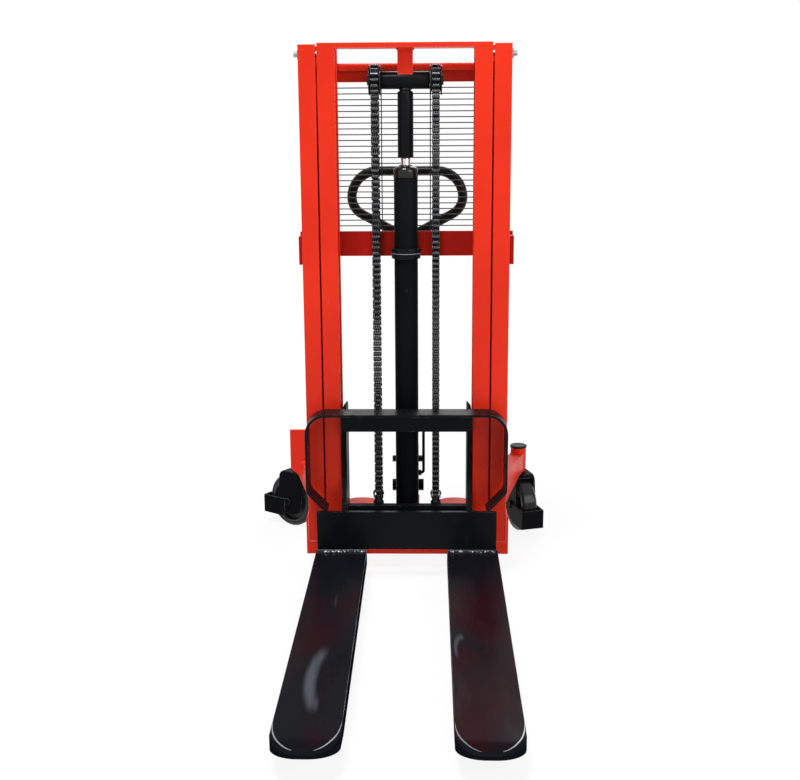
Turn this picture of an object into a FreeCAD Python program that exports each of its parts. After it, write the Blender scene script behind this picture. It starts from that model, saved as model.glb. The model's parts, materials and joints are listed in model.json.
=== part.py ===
import FreeCAD, Part
import math
import os
from FreeCAD import Vector

os.makedirs("parts", exist_ok=True)

# Hand pallet stacker with a two-stage mast, forks lowered.
# Millimetres. X is to the right seen from the fork side, Y runs from the forks to the operator,
# Z is up. The origin is on the floor below the middle of the mast's front face.

# Mast sections
MAST_WIDTH = 606.0
COLUMN_DEPTH = 110.0
OUTER_FLANGE = 49.5
INNER_FLANGE = 50.5
FLANGE_THICK = 12.0
WEB_THICK = 8.0
SECTION_GAP = 4.5
INNER_SETBACK = 4.0
ROOT_RADIUS = 5.0
EDGE_RADIUS = 2.5
BASE_BOTTOM = 49.0
BASE_HEIGHT = 41.0
FOOT_PLATE = 8.0
FOOT_TOP = 182.0
FOOT_BEVEL = 18.0
OUTER_TOP = 1569.0
INNER_PROUD = 4.0
INNER_FOOT_GAP = 4.0

# Fixed cross members of the outer mast
PLATE = 8.0
TOP_BEAM_DROP = 48.0
TOP_BEAM_HEIGHT = 53.0
TOP_BEAM_LIP = 21.0
TOP_BEAM_DEPTH = 26.0
MID_BEAM_BOTTOM = 960.0
MID_BEAM_HEIGHT = 74.0
BRACKET_PROUD = 16.0
BRACKET_HEIGHT = 84.0
BRACKET_DROP = 20.0
BRACKET_REACH = 52.0
WIRE_RADIUS = 1.6
WIRE_PITCH = 16.7
WIRE_STAY_X = 72.0
WIRE_END_GAP = 16.0

# Rear chassis and its swivel tubes
REAR_BEAM_HEIGHT = 48.0
DECK_THICK = 10.0
DECK_HALF = 232.0
DECK_NECK = 36.0
LOBE_RADIUS = 71.0
LOBE_X = 150.0
DECK_REACH = 146.0
SWIVEL_OUT = 66.0
SWIVEL_Y = 400.0
TUBE_RADIUS = 26.0
TUBE_BOTTOM = 196.0
TUBE_HEIGHT = 76.0
CAP_HEIGHT = 18.0
CAP_LIP = 2.0
CAP_EDGE = 5.0
ARM_WIDTH = 44.0
ARM_HEIGHT = 62.0
ARM_CLEAR = 5.0
ARM_FOOT = 150.0
ARM_LEVEL = 80.0
FIN_AHEAD = 124.0
FIN_PROUD = 19.0
FIN_WIDTH = 64.0
FIN_HEIGHT = 173.0
FIN_RISE = 3.0
FIN_CUT = 48.0
FIN_CUT_RISE = 42.0

# Support legs and load rollers
LEG_WIDTH = 100.0
LEG_HEIGHT = 44.0
LEG_TOP = 74.0
LEG_WALL = 6.0
LEG_TIP_GAP = 145.0
LOAD_ROLLER_RADIUS = 37.0
LOAD_ROLLER_SETBACK = 45.0
LOAD_ROLLER_SIDE_GAP = 2.0
LOAD_AXLE_RADIUS = 10.0
LOAD_ROLLER_EDGE = 5.0

# Forks and carriage
FORK_SPAN = 550.0
FORK_WIDTH = 153.0
FORK_TIP = -1230.0
FORK_HEEL = -60.0
FORK_TOP = 86.0
FORK_DEPTH = 46.0
FORK_WALL = 6.0
FORK_NOSE_RADIUS = 66.0
NOSE_DROP = 12.0
NOSE_EDGE = 9.0
NOSE_BEVEL = 46.0
NOSE_RISE = 150.0
NOSE_SOLID = 62.0
HEEL_WELD = 8.0
CARRIAGE_FRONT = -85.0
LOWER_PLATE_WIDTH = 540.0
LOWER_PLATE_TOP = 214.0
LOWER_PLATE_NOTCH = 10.0
CARRIAGE_PLATE = 12.0
SIDE_PLATE = 14.0
SIDE_PLATE_GAP = 2.5
SIDE_PLATE_BOTTOM = 135.0
SIDE_PLATE_RISE = 5.0
SIDE_PLATE_SLANT = 18.0
SIDE_PLATE_TIP = 2.0
SIDE_PLATE_SHOULDER = 300.0
HOOP_BACK = -10.0
HOOP_TOP = 514.0
HOOP_HALF = 301.0
HOOP_BAR = 8.0
HOOP_RADIUS = 62.0
HOOP_KNEE = 272.0
HOOP_FOOT_X = 246.0
UPPER_PLATE_HEIGHT = 60.0
CROSSBAR_BOTTOM = 165.0
CROSSBAR_HEIGHT = 48.0
CROSSBAR_DEPTH = 26.0
LUG_WIDTH = 32.0
LUG_HEIGHT = 24.0
TIE_HEIGHT = 38.0

# Mast and carriage rollers
ROLLER_CLEAR = 0.4
ROLLER_EDGE = 2.0
RUNNING_FIT = 0.05
FIXED_FIT = 0.02
PIN_RADIUS = 12.0
LOWER_ROLLER_WIDTH = 26.0
CARRIAGE_ROLLER_WIDTH = 13.0
ROLLER_SIDE_GAP = 3.5
LOWER_ROLLER_Z = 142.0
CARRIAGE_ROLLER_LOW = 190.0
CARRIAGE_ROLLER_HIGH = 465.0
TOP_ROLLER_RADIUS = 22.0
TOP_ROLLER_DROP = 24.0
STUD_RADIUS = 8.0
STUD_PROUD = 18.0

# Lift cylinder, crosshead and chains
BARREL_RADIUS = 35.0
BARREL_BORE = 28.0
BARREL_FLOOR = 20.0
GLAND_RADIUS = 36.5
GLAND_HEIGHT = 32.0
GLAND_EDGE = 15.0
ROD_RADIUS = 14.0
ROD_SHOWN = 25.0
PISTON_HEIGHT = 40.0
STOP_SLEEVE = 88.0
STOP_SLEEVE_RADIUS = 20.0
COLLAR_RADIUS = 43.0
COLLAR_HEIGHT = 30.0
COLLAR_ARM = 30.0
TOP_BAR_HEIGHT = 14.0
TOP_BAR_DEPTH = 82.0
POST_HALF = 22.0
POST_DEPTH = 40.0
POST_GUSSET = 6.0
HEAD_DROP = 88.0
HEAD_RADIUS = 25.0
SLEEVE_RADIUS = 23.0
SLEEVE_LENGTH = 218.0
SLEEVE_SHOULDER = 6.0
NECK_RADIUS = 16.5
NECK_HEIGHT = 5.0
WHEEL_X = 88.0
WHEEL_WIDTH = 35.0
WHEEL_FLANGE = 4.0
WHEEL_FLANGE_RADIUS = 42.0
AXLE_RADIUS = 10.0
CHAIN_PITCH = 15.875
CHAIN_OUTER_WIDTH = 21.0
CHAIN_INNER_WIDTH = 14.0
CHAIN_HEIGHT = 13.5
CHAIN_WRAP_RADIUS = 46.0
CHAIN_SEAT = 0.3
WRAP_LINKS = 8
FRONT_ANCHOR_ROOM = 15.0
REAR_ANCHOR_ROOM = 60.0
ANCHOR_RADIUS = 7.0
ANCHOR_NUT_RADIUS = 13.5
ANCHOR_NUT_CLEAR = 0.6

# Casters
CASTER_WHEEL_RADIUS = 90.0
CASTER_WHEEL_WIDTH = 50.0
CASTER_TRAIL = 30.0
TYRE_THICK = 14.0
TYRE_EDGE = 6.0
CHEEK = 6.0
CHEEK_GAP = 4.0
CHEEK_HALF = 52.0
CHEEK_DROP = 46.0
CHEEK_ROUND = 40.0
CROWN = 9.0
CROWN_GAP = 0.3
CROWN_BACK = 46.0
CROWN_FRONT = 66.0
CROWN_ROUND = 24.0
BOSS_RADIUS = 22.0
KINGPIN_RADIUS = 15.0
CASTER_AXLE_RADIUS = 8.0
GUARD_END = 138.0
GUARD_WALL = 4.0
GUARD_BOTTOM = 34.0
GUARD_HEIGHT = 62.0
GUARD_HEAD_GAP = 1.0
LEFT_CASTER_TURN = 145.0
RIGHT_CASTER_TURN = -73.0

# Pump and tiller
PIVOT_Y = 205.0
PIVOT_Z = 208.0
PIVOT_RADIUS = 9.0
PUMP_HALF = 24.0
LUG_RADIUS = 20.0
TANK_HALF = 34.0
TANK_FRONT = 114.0
TANK_BACK = 172.0
TANK_TOP = 285.0
TANK_EDGE = 8.0
PLUNGER_RADIUS = 13.0
PLUNGER_EDGE = 2.5
PUMP_BARREL_RADIUS = 24.0
PUMP_BARREL_TOP = 176.0
PUMP_BARREL_BOTTOM = 84.0
YOKE_CHEEK = 8.0
YOKE_GAP = 2.0
YOKE_EYE = 22.0
YOKE_TOP = 130.0
YOKE_HEAD = 34.0
PRESS_Y = 45.0
PRESS_Z = 32.0
PRESS_RADIUS = 12.0
PRESS_GAP = 0.5
PIVOT_NUT_RADIUS = 17.0
PIVOT_NUT = 16.0
YOKE_BOLT_Z = 86.0
TILLER_LEAN = 5.4
SHAFT_RADIUS = 17.0
LOOP_RADIUS = 15.0
TUBE_WALL = 3.0
LOOP_BASE = 800.0
LOOP_HEIGHT = 200.0
LOOP_SHOULDER_X = 168.0
LOOP_WAIST_X = 176.0
WAIST_RISE = 85.0
LOOP_CORNER = 80.0
LOOP_BEND = 60.0
LEVER_RADIUS = 4.5
LEVER_X = 50.0
LEVER_Y = 150.0
LEVER_Z = 266.0
LEVER_TOP = 430.0
LEVER_BEND = 8.0
LEVER_BOSS = 9.0

# Places that follow from those sizes
OUTER_X = MAST_WIDTH / 2
OUTER_EDGE_X = OUTER_X - OUTER_FLANGE
SWIVEL_X = OUTER_X + SWIVEL_OUT
INNER_OUT_X = OUTER_EDGE_X - SECTION_GAP
INNER_IN_X = INNER_OUT_X - INNER_FLANGE
INNER_WEB_X = (INNER_OUT_X + INNER_IN_X) / 2
INNER_DEPTH = COLUMN_DEPTH - INNER_SETBACK
BASE_TOP = BASE_BOTTOM + BASE_HEIGHT
INNER_BOTTOM = BASE_TOP + INNER_FOOT_GAP
INNER_TOP = OUTER_TOP + INNER_PROUD
MAST_Y = COLUMN_DEPTH / 2
HEAD_Z = INNER_TOP - TOP_BAR_HEIGHT - HEAD_DROP
SLEEVE_BOTTOM = HEAD_Z - SLEEVE_LENGTH
GLAND_TOP = SLEEVE_BOTTOM - ROD_SHOWN
CHAIN_FRONT_Y = MAST_Y - CHAIN_WRAP_RADIUS + CHAIN_HEIGHT / 2
CHAIN_REAR_Y = MAST_Y + CHAIN_WRAP_RADIUS - CHAIN_HEIGHT / 2
CROSSBAR_BACK = CHAIN_FRONT_Y - ANCHOR_NUT_RADIUS - ANCHOR_NUT_CLEAR
CROSSBAR_TOP = CROSSBAR_BOTTOM + CROSSBAR_HEIGHT
FRONT_CHAIN_LINKS = int((HEAD_Z - CROSSBAR_TOP - FRONT_ANCHOR_ROOM) / CHAIN_PITCH)
REAR_CHAIN_LINKS = int((HEAD_Z - BASE_TOP - REAR_ANCHOR_ROOM) / CHAIN_PITCH)
FRONT_CHAIN_END = HEAD_Z - FRONT_CHAIN_LINKS * CHAIN_PITCH
REAR_CHAIN_END = HEAD_Z - REAR_CHAIN_LINKS * CHAIN_PITCH
LOOP_TOP = LOOP_BASE + LOOP_HEIGHT
LOOP_WAIST = LOOP_BASE + WAIST_RISE
FORK_X = (FORK_SPAN - FORK_WIDTH) / 2
SIDE_OUT_X = INNER_IN_X - SIDE_PLATE_GAP
SIDE_IN_X = SIDE_OUT_X - SIDE_PLATE
LOAD_ROLLER_Y = FORK_TIP + LEG_TIP_GAP + LOAD_ROLLER_SETBACK
DECK_TOP = BASE_TOP + REAR_BEAM_HEIGHT + DECK_THICK
REAR_Y = COLUMN_DEPTH + PLATE
TOP_STUD_Z = OUTER_TOP - TOP_ROLLER_DROP
TOP_ROLLER_Y = INNER_DEPTH - FLANGE_THICK - TOP_ROLLER_RADIUS - ROLLER_CLEAR

X_AXIS = Vector(1, 0, 0)
Y_AXIS = Vector(0, 1, 0)
Z_AXIS = Vector(0, 0, 1)
ORIGIN = Vector(0, 0, 0)


# Shape helpers

def box(x0, x1, y0, y1, z0, z1):
    return Part.makeBox(x1 - x0, y1 - y0, z1 - z0, Vector(x0, y0, z0))


def rod(radius, start, end):
    """Round bar between two points."""
    return Part.makeCylinder(radius, (end - start).Length, start, end - start)


def half_angle(points, i):
    """Half the angle between the two edges that meet at a corner."""
    back = points[i - 1] - points[i]
    ahead = points[(i + 1) % len(points)] - points[i]
    return back.getAngle(ahead) / 2


def corner_reaches(corners, closed):
    """How far each rounding runs along its edges, shortened where an edge is too short for both."""
    points = [point for point, radius in corners]
    count = len(points)
    wanted = []
    for i, (point, radius) in enumerate(corners):
        rounded = radius > 0 and (closed or 0 < i < count - 1)
        wanted.append(radius / math.tan(half_angle(points, i)) if rounded else 0.0)
    reaches = list(wanted)
    for i in range(count if closed else count - 1):
        j = (i + 1) % count
        length = (points[j] - points[i]).Length
        both = wanted[i] + wanted[j]
        if both > length:
            reaches[i] = min(reaches[i], wanted[i] * length / both)
            reaches[j] = min(reaches[j], wanted[j] * length / both)
    return reaches


def outline(corners, closed=True):
    """Wire through (point, radius) corners, each corner rounded to its radius."""
    points = [point for point, radius in corners]
    edges = []
    last = None
    first = None
    for i, reach in enumerate(corner_reaches(corners, closed)):
        point = points[i]
        entry = leave = point
        if reach > 0:
            back = (points[i - 1] - point).normalize()
            ahead = (points[(i + 1) % len(points)] - point).normalize()
            half = half_angle(points, i)
            radius = reach * math.tan(half)
            entry = point + back * reach
            leave = point + ahead * reach
            crest = point + (back + ahead).normalize() * (radius / math.sin(half) - radius)
        if last is None:
            first = entry
        elif (entry - last).Length > 1e-6:
            edges.append(Part.LineSegment(last, entry).toShape())
        if reach > 0:
            edges.append(Part.Arc(entry, crest, leave).toShape())
        last = leave
    if closed and (first - last).Length > 1e-6:
        edges.append(Part.LineSegment(last, first).toShape())
    return Part.Wire(edges)


def in_xy(points):
    return [(Vector(x, y, 0), r) for x, y, r in points]


def in_yz(points):
    return [(Vector(0, y, z), r) for y, z, r in points]


def in_xz(points):
    return [(Vector(x, 0, z), r) for x, z, r in points]


def prism(corners, direction):
    return Part.Face(outline(corners)).extrude(direction)


def turned(profile, base, axis):
    """Solid of revolution: profile is (radius, height) corners, heights along axis from base."""
    corners = [(Vector(r, 0, h), fillet) for r, h, fillet in profile]
    solid = Part.Face(outline(corners)).revolve(ORIGIN, Z_AXIS, 360)
    solid.Placement = FreeCAD.Placement(base, FreeCAD.Rotation(Z_AXIS, axis))
    return solid


def barrel_profile(bore, radius, half, edge):
    """Half section of a bored roller with bevelled rims, centred on its base."""
    return [
        (bore, -half, 0),
        (radius - edge, -half, 0),
        (radius, edge - half, 0),
        (radius, half - edge, 0),
        (radius - edge, half, 0),
        (bore, half, 0),
    ]


def mirrored(shape):
    return shape.mirror(ORIGIN, X_AXIS)


def pair(shape):
    return Part.Compound([mirrored(shape), shape])


def hexagon(across, start, end):
    """Hexagonal bar between two points."""
    turn = FreeCAD.Rotation(Z_AXIS, end - start)
    radius = across / math.sqrt(3)
    corners = []
    for i in range(6):
        angle = math.radians(60 * i)
        offset = Vector(radius * math.cos(angle), radius * math.sin(angle), 0)
        corners.append((start + turn.multVec(offset), 0))
    return prism(corners, end - start)


# Outer mast

def outer_column():
    inner = OUTER_X - WEB_THICK
    back = COLUMN_DEPTH
    profile = [
        (OUTER_X, 0, EDGE_RADIUS),
        (OUTER_X, back, EDGE_RADIUS),
        (OUTER_EDGE_X, back, EDGE_RADIUS),
        (OUTER_EDGE_X, back - FLANGE_THICK, EDGE_RADIUS),
        (inner, back - FLANGE_THICK, ROOT_RADIUS),
        (inner, FLANGE_THICK, ROOT_RADIUS),
        (OUTER_EDGE_X, FLANGE_THICK, EDGE_RADIUS),
        (OUTER_EDGE_X, 0, EDGE_RADIUS),
    ]
    column = prism(in_xy(profile), Vector(0, 0, OUTER_TOP - BASE_TOP))
    column.translate(Vector(0, 0, BASE_TOP))
    stud_hole = rod(STUD_RADIUS + FIXED_FIT, Vector(inner - WEB_THICK, TOP_ROLLER_Y, TOP_STUD_Z),
                    Vector(OUTER_X + WEB_THICK, TOP_ROLLER_Y, TOP_STUD_Z))
    return column.cut(stud_hole)


def base_beam():
    """Bar under both columns with a plate up the outer side of each, its top edge sloped for the weld."""
    wide = OUTER_X + FOOT_PLATE
    right = [
        (OUTER_X, BASE_TOP, 0),
        (OUTER_X, FOOT_TOP, 0),
        (wide, FOOT_TOP - FOOT_BEVEL, 0),
        (wide, BASE_BOTTOM, EDGE_RADIUS),
    ]
    left = [(-x, z, r) for x, z, r in right[::-1]]
    return prism(in_xz(right + left), Y_AXIS * COLUMN_DEPTH)


def rear_top_beam():
    top = OUTER_TOP - TOP_BEAM_DROP
    front = COLUMN_DEPTH
    back = front + TOP_BEAM_DEPTH
    profile = [
        (front, top - TOP_BEAM_LIP, 0),
        (front, top, PLATE),
        (back, top, PLATE),
        (back, top - TOP_BEAM_HEIGHT, 0),
        (back - PLATE, top - TOP_BEAM_HEIGHT, 0),
        (back - PLATE, top - PLATE, 0),
        (front + PLATE, top - PLATE, 0),
        (front + PLATE, top - TOP_BEAM_LIP, 0),
    ]
    beam = prism(in_yz(profile), X_AXIS * MAST_WIDTH)
    beam.translate(Vector(-OUTER_X, 0, 0))
    return beam


def rear_mid_beam():
    """Plate behind both columns, bent forward along their outer sides."""
    top = MID_BEAM_BOTTOM + MID_BEAM_HEIGHT
    wing = OUTER_X + BRACKET_PROUD
    plate = box(-wing, wing, COLUMN_DEPTH, REAR_Y, MID_BEAM_BOTTOM, top)
    low = MID_BEAM_BOTTOM - BRACKET_DROP
    ear = box(OUTER_X, wing, COLUMN_DEPTH - BRACKET_REACH, REAR_Y, low, low + BRACKET_HEIGHT)
    return plate.fuse([ear, mirrored(ear)]).removeSplitter()


def wire_screen():
    """Guard of horizontal wires welded behind the columns, with upright stays behind them."""
    wires = []
    low = MID_BEAM_BOTTOM + MID_BEAM_HEIGHT
    high = OUTER_TOP - TOP_BEAM_DROP - TOP_BEAM_HEIGHT
    wire_y = COLUMN_DEPTH + WIRE_RADIUS
    end = OUTER_X - WIRE_END_GAP
    count = int((high - low) / WIRE_PITCH)
    margin = (high - low - (count - 1) * WIRE_PITCH) / 2
    for i in range(count):
        z = low + margin + i * WIRE_PITCH
        wires.append(rod(WIRE_RADIUS, Vector(-end, wire_y, z), Vector(end, wire_y, z)))
    stay_y = wire_y + 2 * WIRE_RADIUS
    for x in (-3 * WIRE_STAY_X, -WIRE_STAY_X, WIRE_STAY_X, 3 * WIRE_STAY_X):
        wires.append(rod(WIRE_RADIUS, Vector(x, stay_y, low), Vector(x, stay_y, high)))
    return Part.Compound(wires)


def rear_lower_beam():
    return box(-OUTER_X, OUTER_X, COLUMN_DEPTH, REAR_Y, BASE_BOTTOM, DECK_TOP - DECK_THICK)


def rear_deck():
    """Low plate behind the mast with two round lobes and a neck under the pump."""
    low = DECK_TOP - DECK_THICK
    front = COLUMN_DEPTH
    lobe_y = front + DECK_REACH - LOBE_RADIUS
    deck = box(-DECK_HALF, DECK_HALF, front, lobe_y, low, DECK_TOP)
    press = press_point(0)
    neck_end = press.y + PUMP_BARREL_RADIUS + PLATE
    neck = box(-DECK_NECK, DECK_NECK, front, neck_end, low, DECK_TOP)
    lobe = rod(LOBE_RADIUS, Vector(LOBE_X, lobe_y, low), Vector(LOBE_X, lobe_y, DECK_TOP))
    deck = deck.fuse([neck, lobe, mirrored(lobe)]).removeSplitter()
    hole_radius = PUMP_BARREL_RADIUS + FIXED_FIT
    return deck.cut(rod(hole_radius, Vector(0, press.y, low), Vector(0, press.y, DECK_TOP)))


def rear_arm():
    """Box arm from the back of the right column to its swivel tube, deeper towards the column."""
    start = Vector(OUTER_EDGE_X + OUTER_FLANGE / 2, COLUMN_DEPTH, 0)
    end = Vector(SWIVEL_X, SWIVEL_Y, 0)
    length = (end - start).Length
    along = (end - start).normalize()
    across = Vector(along.y, -along.x, 0)
    low = TUBE_BOTTOM + ARM_CLEAR
    top = low + ARM_HEIGHT
    side = [
        (-ARM_WIDTH, ARM_FOOT),
        (-ARM_WIDTH, top),
        (length, top),
        (length, low),
        (length - ARM_LEVEL, low),
    ]
    near = start - across * (ARM_WIDTH / 2)
    arm = prism([(near + along * s + Z_AXIS * z, 0) for s, z in side], across * ARM_WIDTH)
    ahead = box(0, OUTER_X + SWIVEL_X, COLUMN_DEPTH - ARM_WIDTH * 2, COLUMN_DEPTH, 0, OUTER_TOP)
    arm = arm.cut(ahead)
    foot = Vector(SWIVEL_X, SWIVEL_Y, TUBE_BOTTOM)
    head = foot + Z_AXIS * TUBE_HEIGHT
    tube = rod(TUBE_RADIUS, foot, head)
    bore = rod(KINGPIN_RADIUS + RUNNING_FIT, foot, head)
    return arm.fuse(tube).cut(bore).removeSplitter()


def left_rear_arm():
    """Mirrored arm with a flat upright plate across it, the plate's lower outer corner cut off."""
    outer = -SWIVEL_X - FIN_PROUD
    inner = outer + FIN_WIDTH
    low = TUBE_BOTTOM + FIN_RISE
    profile = [
        (inner, low, 0),
        (inner, low + FIN_HEIGHT, 0),
        (outer, low + FIN_HEIGHT, EDGE_RADIUS),
        (outer, low + FIN_CUT_RISE, 0),
        (outer + FIN_CUT, low, 0),
    ]
    fin = prism(in_xz(profile), Y_AXIS * PLATE)
    fin.translate(Vector(0, SWIVEL_Y - FIN_AHEAD, 0))
    return mirrored(rear_arm()).fuse(fin).removeSplitter()


def swivel_cap():
    low = TUBE_BOTTOM + TUBE_HEIGHT
    wide = TUBE_RADIUS + CAP_LIP
    profile = [
        (0, 0, 0),
        (wide, 0, 0),
        (wide, CAP_HEIGHT - CAP_EDGE, 0),
        (wide - CAP_EDGE, CAP_HEIGHT, 0),
        (0, CAP_HEIGHT, 0),
    ]
    return turned(profile, Vector(SWIVEL_X, SWIVEL_Y, low), Z_AXIS)


def top_roller_stud():
    tip = INNER_WEB_X + WEB_THICK / 2 + ROLLER_SIDE_GAP
    start = Vector(tip, TOP_ROLLER_Y, TOP_STUD_Z)
    nut = Vector(OUTER_X, TOP_ROLLER_Y, TOP_STUD_Z)
    end = nut + X_AXIS * STUD_PROUD
    return rod(STUD_RADIUS, start, end).fuse(hexagon(STUD_RADIUS * 3, nut, nut + X_AXIS * STUD_RADIUS))


# Legs and load rollers

def leg():
    """Inverted channel whose side walls run on past its top to carry the load roller."""
    left = FORK_X - LEG_WIDTH / 2
    right = FORK_X + LEG_WIDTH / 2
    tip = FORK_TIP + LEG_TIP_GAP
    low = LEG_TOP - LEG_HEIGHT
    profile = [(left, low, 0), (left, LEG_TOP, LEG_WALL), (right, LEG_TOP, LEG_WALL), (right, low, 0)]
    shell = prism(in_xz(profile), Y_AXIS * tip)
    inside = box(left + LEG_WALL, right - LEG_WALL, tip, 0, low, LEG_TOP - LEG_WALL)
    slot_back = LOAD_ROLLER_Y + LOAD_ROLLER_RADIUS + LEG_WALL
    slot = box(left + LEG_WALL, right - LEG_WALL, tip, slot_back, low, LEG_TOP)
    heel = box(left + LEG_WALL, right - LEG_WALL, -LEG_WALL, 0, low, LEG_TOP - LEG_WALL)
    nose = LEG_HEIGHT / 2
    wedge = in_yz([(tip, LEG_TOP, 0), (tip + nose, LEG_TOP, 0), (tip, LEG_TOP - nose, 0)])
    corner = prism(wedge, X_AXIS * LEG_WIDTH)
    corner.translate(Vector(left, 0, 0))
    axle = rod(LOAD_AXLE_RADIUS + FIXED_FIT, load_axle_end(-1), load_axle_end(1))
    return shell.cut([inside, slot]).fuse(heel).cut([corner, axle])


def load_axle_end(side):
    return Vector(FORK_X + side * LEG_WIDTH / 2, LOAD_ROLLER_Y, LOAD_ROLLER_RADIUS)


def load_roller():
    half = LEG_WIDTH / 2 - LEG_WALL - LOAD_ROLLER_SIDE_GAP
    bore = LOAD_AXLE_RADIUS + RUNNING_FIT
    profile = barrel_profile(bore, LOAD_ROLLER_RADIUS, half, LOAD_ROLLER_EDGE)
    return turned(profile, Vector(FORK_X, LOAD_ROLLER_Y, LOAD_ROLLER_RADIUS), X_AXIS)


# Lift cylinder

def cylinder_barrel():
    top = GLAND_TOP - GLAND_HEIGHT - BASE_TOP
    profile = [
        (0, 0, 0),
        (BARREL_RADIUS, 0, 0),
        (BARREL_RADIUS, top, 0),
        (BARREL_BORE, top, 0),
        (BARREL_BORE, BARREL_FLOOR, 0),
        (0, BARREL_FLOOR, 0),
    ]
    return turned(profile, Vector(0, MAST_Y, BASE_TOP), Z_AXIS)


def cylinder_gland():
    bore = ROD_RADIUS + RUNNING_FIT
    profile = [
        (bore, 0, 0),
        (GLAND_RADIUS, 0, 0),
        (GLAND_RADIUS, GLAND_HEIGHT, GLAND_EDGE),
        (bore, GLAND_HEIGHT, 0),
    ]
    return turned(profile, Vector(0, MAST_Y, GLAND_TOP - GLAND_HEIGHT), Z_AXIS)


def cylinder_collar():
    """Clamp round the barrel with an arm back to the mid beam."""
    low = Vector(0, MAST_Y, MID_BEAM_BOTTOM)
    high = low + Z_AXIS * COLLAR_HEIGHT
    arm = box(-COLLAR_ARM, COLLAR_ARM, MAST_Y, COLUMN_DEPTH, low.z, high.z)
    return rod(COLLAR_RADIUS, low, high).fuse(arm).cut(rod(BARREL_RADIUS, low, high)).removeSplitter()


def fixed_chain_anchor():
    """Stud on the base beam that holds the chain's standing end."""
    height = REAR_CHAIN_END - BASE_TOP
    wide = CHAIN_OUTER_WIDTH / 2
    profile = [
        (0, 0, 0),
        (wide, 0, 0),
        (wide, height / 3, 0),
        (ANCHOR_RADIUS, height / 3, 0),
        (ANCHOR_RADIUS, height / 2, 0),
        (wide, height, 0),
        (0, height, 0),
    ]
    return turned(profile, Vector(WHEEL_X, CHAIN_REAR_Y, BASE_TOP), Z_AXIS)


# Inner mast

def inner_column():
    web_in = INNER_WEB_X - WEB_THICK / 2
    web_out = INNER_WEB_X + WEB_THICK / 2
    front = FLANGE_THICK
    back = INNER_DEPTH - FLANGE_THICK
    root = ROOT_RADIUS / 2
    profile = [
        (INNER_IN_X, 0, EDGE_RADIUS),
        (INNER_OUT_X, 0, EDGE_RADIUS),
        (INNER_OUT_X, front, EDGE_RADIUS),
        (web_out, front, root),
        (web_out, back, root),
        (INNER_OUT_X, back, EDGE_RADIUS),
        (INNER_OUT_X, INNER_DEPTH, EDGE_RADIUS),
        (INNER_IN_X, INNER_DEPTH, EDGE_RADIUS),
        (INNER_IN_X, back, EDGE_RADIUS),
        (web_in, back, root),
        (web_in, front, root),
        (INNER_IN_X, front, EDGE_RADIUS),
    ]
    column = prism(in_xy(profile), Vector(0, 0, INNER_TOP - INNER_BOTTOM))
    column.translate(Vector(0, 0, INNER_BOTTOM))
    return column


def inner_top_bar():
    """Bar across the inner columns with the post that bears on the crosshead."""
    low = INNER_TOP - TOP_BAR_HEIGHT
    bar = box(-INNER_IN_X, INNER_IN_X, 0, TOP_BAR_DEPTH, low, INNER_TOP)
    post = box(-POST_HALF, POST_HALF, MAST_Y - POST_DEPTH / 2, MAST_Y + POST_DEPTH / 2, HEAD_Z, low)
    weld = in_xz([(POST_HALF, low, 0), (POST_HALF + POST_GUSSET, low, 0), (POST_HALF, low - POST_GUSSET, 0)])
    fillet = prism(weld, Y_AXIS * POST_DEPTH)
    fillet.translate(Vector(0, MAST_Y - POST_DEPTH / 2, 0))
    head = rod(HEAD_RADIUS, Vector(-POST_HALF, MAST_Y, HEAD_Z), Vector(POST_HALF, MAST_Y, HEAD_Z))
    below = box(-POST_HALF, POST_HALF, 0, COLUMN_DEPTH, HEAD_Z - HEAD_RADIUS, HEAD_Z)
    return bar.fuse([post, fillet, mirrored(fillet)]).cut([head, below]).removeSplitter()


def inner_lower_tie():
    return box(-INNER_IN_X, INNER_IN_X, 0, PLATE, INNER_BOTTOM, INNER_BOTTOM + TIE_HEIGHT)


def crosshead():
    """T-shaped head: a cross tube for the wheel axle, a neck, and a sleeve over the rod's end."""
    half = WHEEL_X - WHEEL_WIDTH / 2 - CHAIN_SEAT
    tube = rod(HEAD_RADIUS, Vector(-half, MAST_Y, HEAD_Z), Vector(half, MAST_Y, HEAD_Z))
    shoulder = SLEEVE_LENGTH - HEAD_RADIUS - NECK_HEIGHT
    profile = [
        (0, 0, 0),
        (SLEEVE_RADIUS, 0, 0),
        (SLEEVE_RADIUS, shoulder, SLEEVE_SHOULDER),
        (NECK_RADIUS, shoulder, 0),
        (NECK_RADIUS, SLEEVE_LENGTH, 0),
        (0, SLEEVE_LENGTH, 0),
    ]
    sleeve = turned(profile, Vector(0, MAST_Y, SLEEVE_BOTTOM), Z_AXIS)
    axle = rod(AXLE_RADIUS + FIXED_FIT, Vector(-half, MAST_Y, HEAD_Z), Vector(half, MAST_Y, HEAD_Z))
    socket = rod(ROD_RADIUS + FIXED_FIT, Vector(0, MAST_Y, SLEEVE_BOTTOM), rod_top())
    return tube.fuse(sleeve).cut([axle, socket])


def rod_top():
    return Vector(0, MAST_Y, HEAD_Z - HEAD_RADIUS)


def piston_rod():
    """Rod with its piston and the stop sleeve that meets the gland at full lift."""
    foot = BASE_TOP + BARREL_FLOOR + CHAIN_SEAT
    height = rod_top().z - foot
    wide = BARREL_BORE - RUNNING_FIT
    profile = [
        (0, 0, 0),
        (wide, 0, 0),
        (wide, PISTON_HEIGHT, 0),
        (STOP_SLEEVE_RADIUS, PISTON_HEIGHT, 0),
        (STOP_SLEEVE_RADIUS, PISTON_HEIGHT + STOP_SLEEVE, 0),
        (ROD_RADIUS, PISTON_HEIGHT + STOP_SLEEVE, 0),
        (ROD_RADIUS, height, 0),
        (0, height, 0),
    ]
    return turned(profile, Vector(0, MAST_Y, foot), Z_AXIS)


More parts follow.
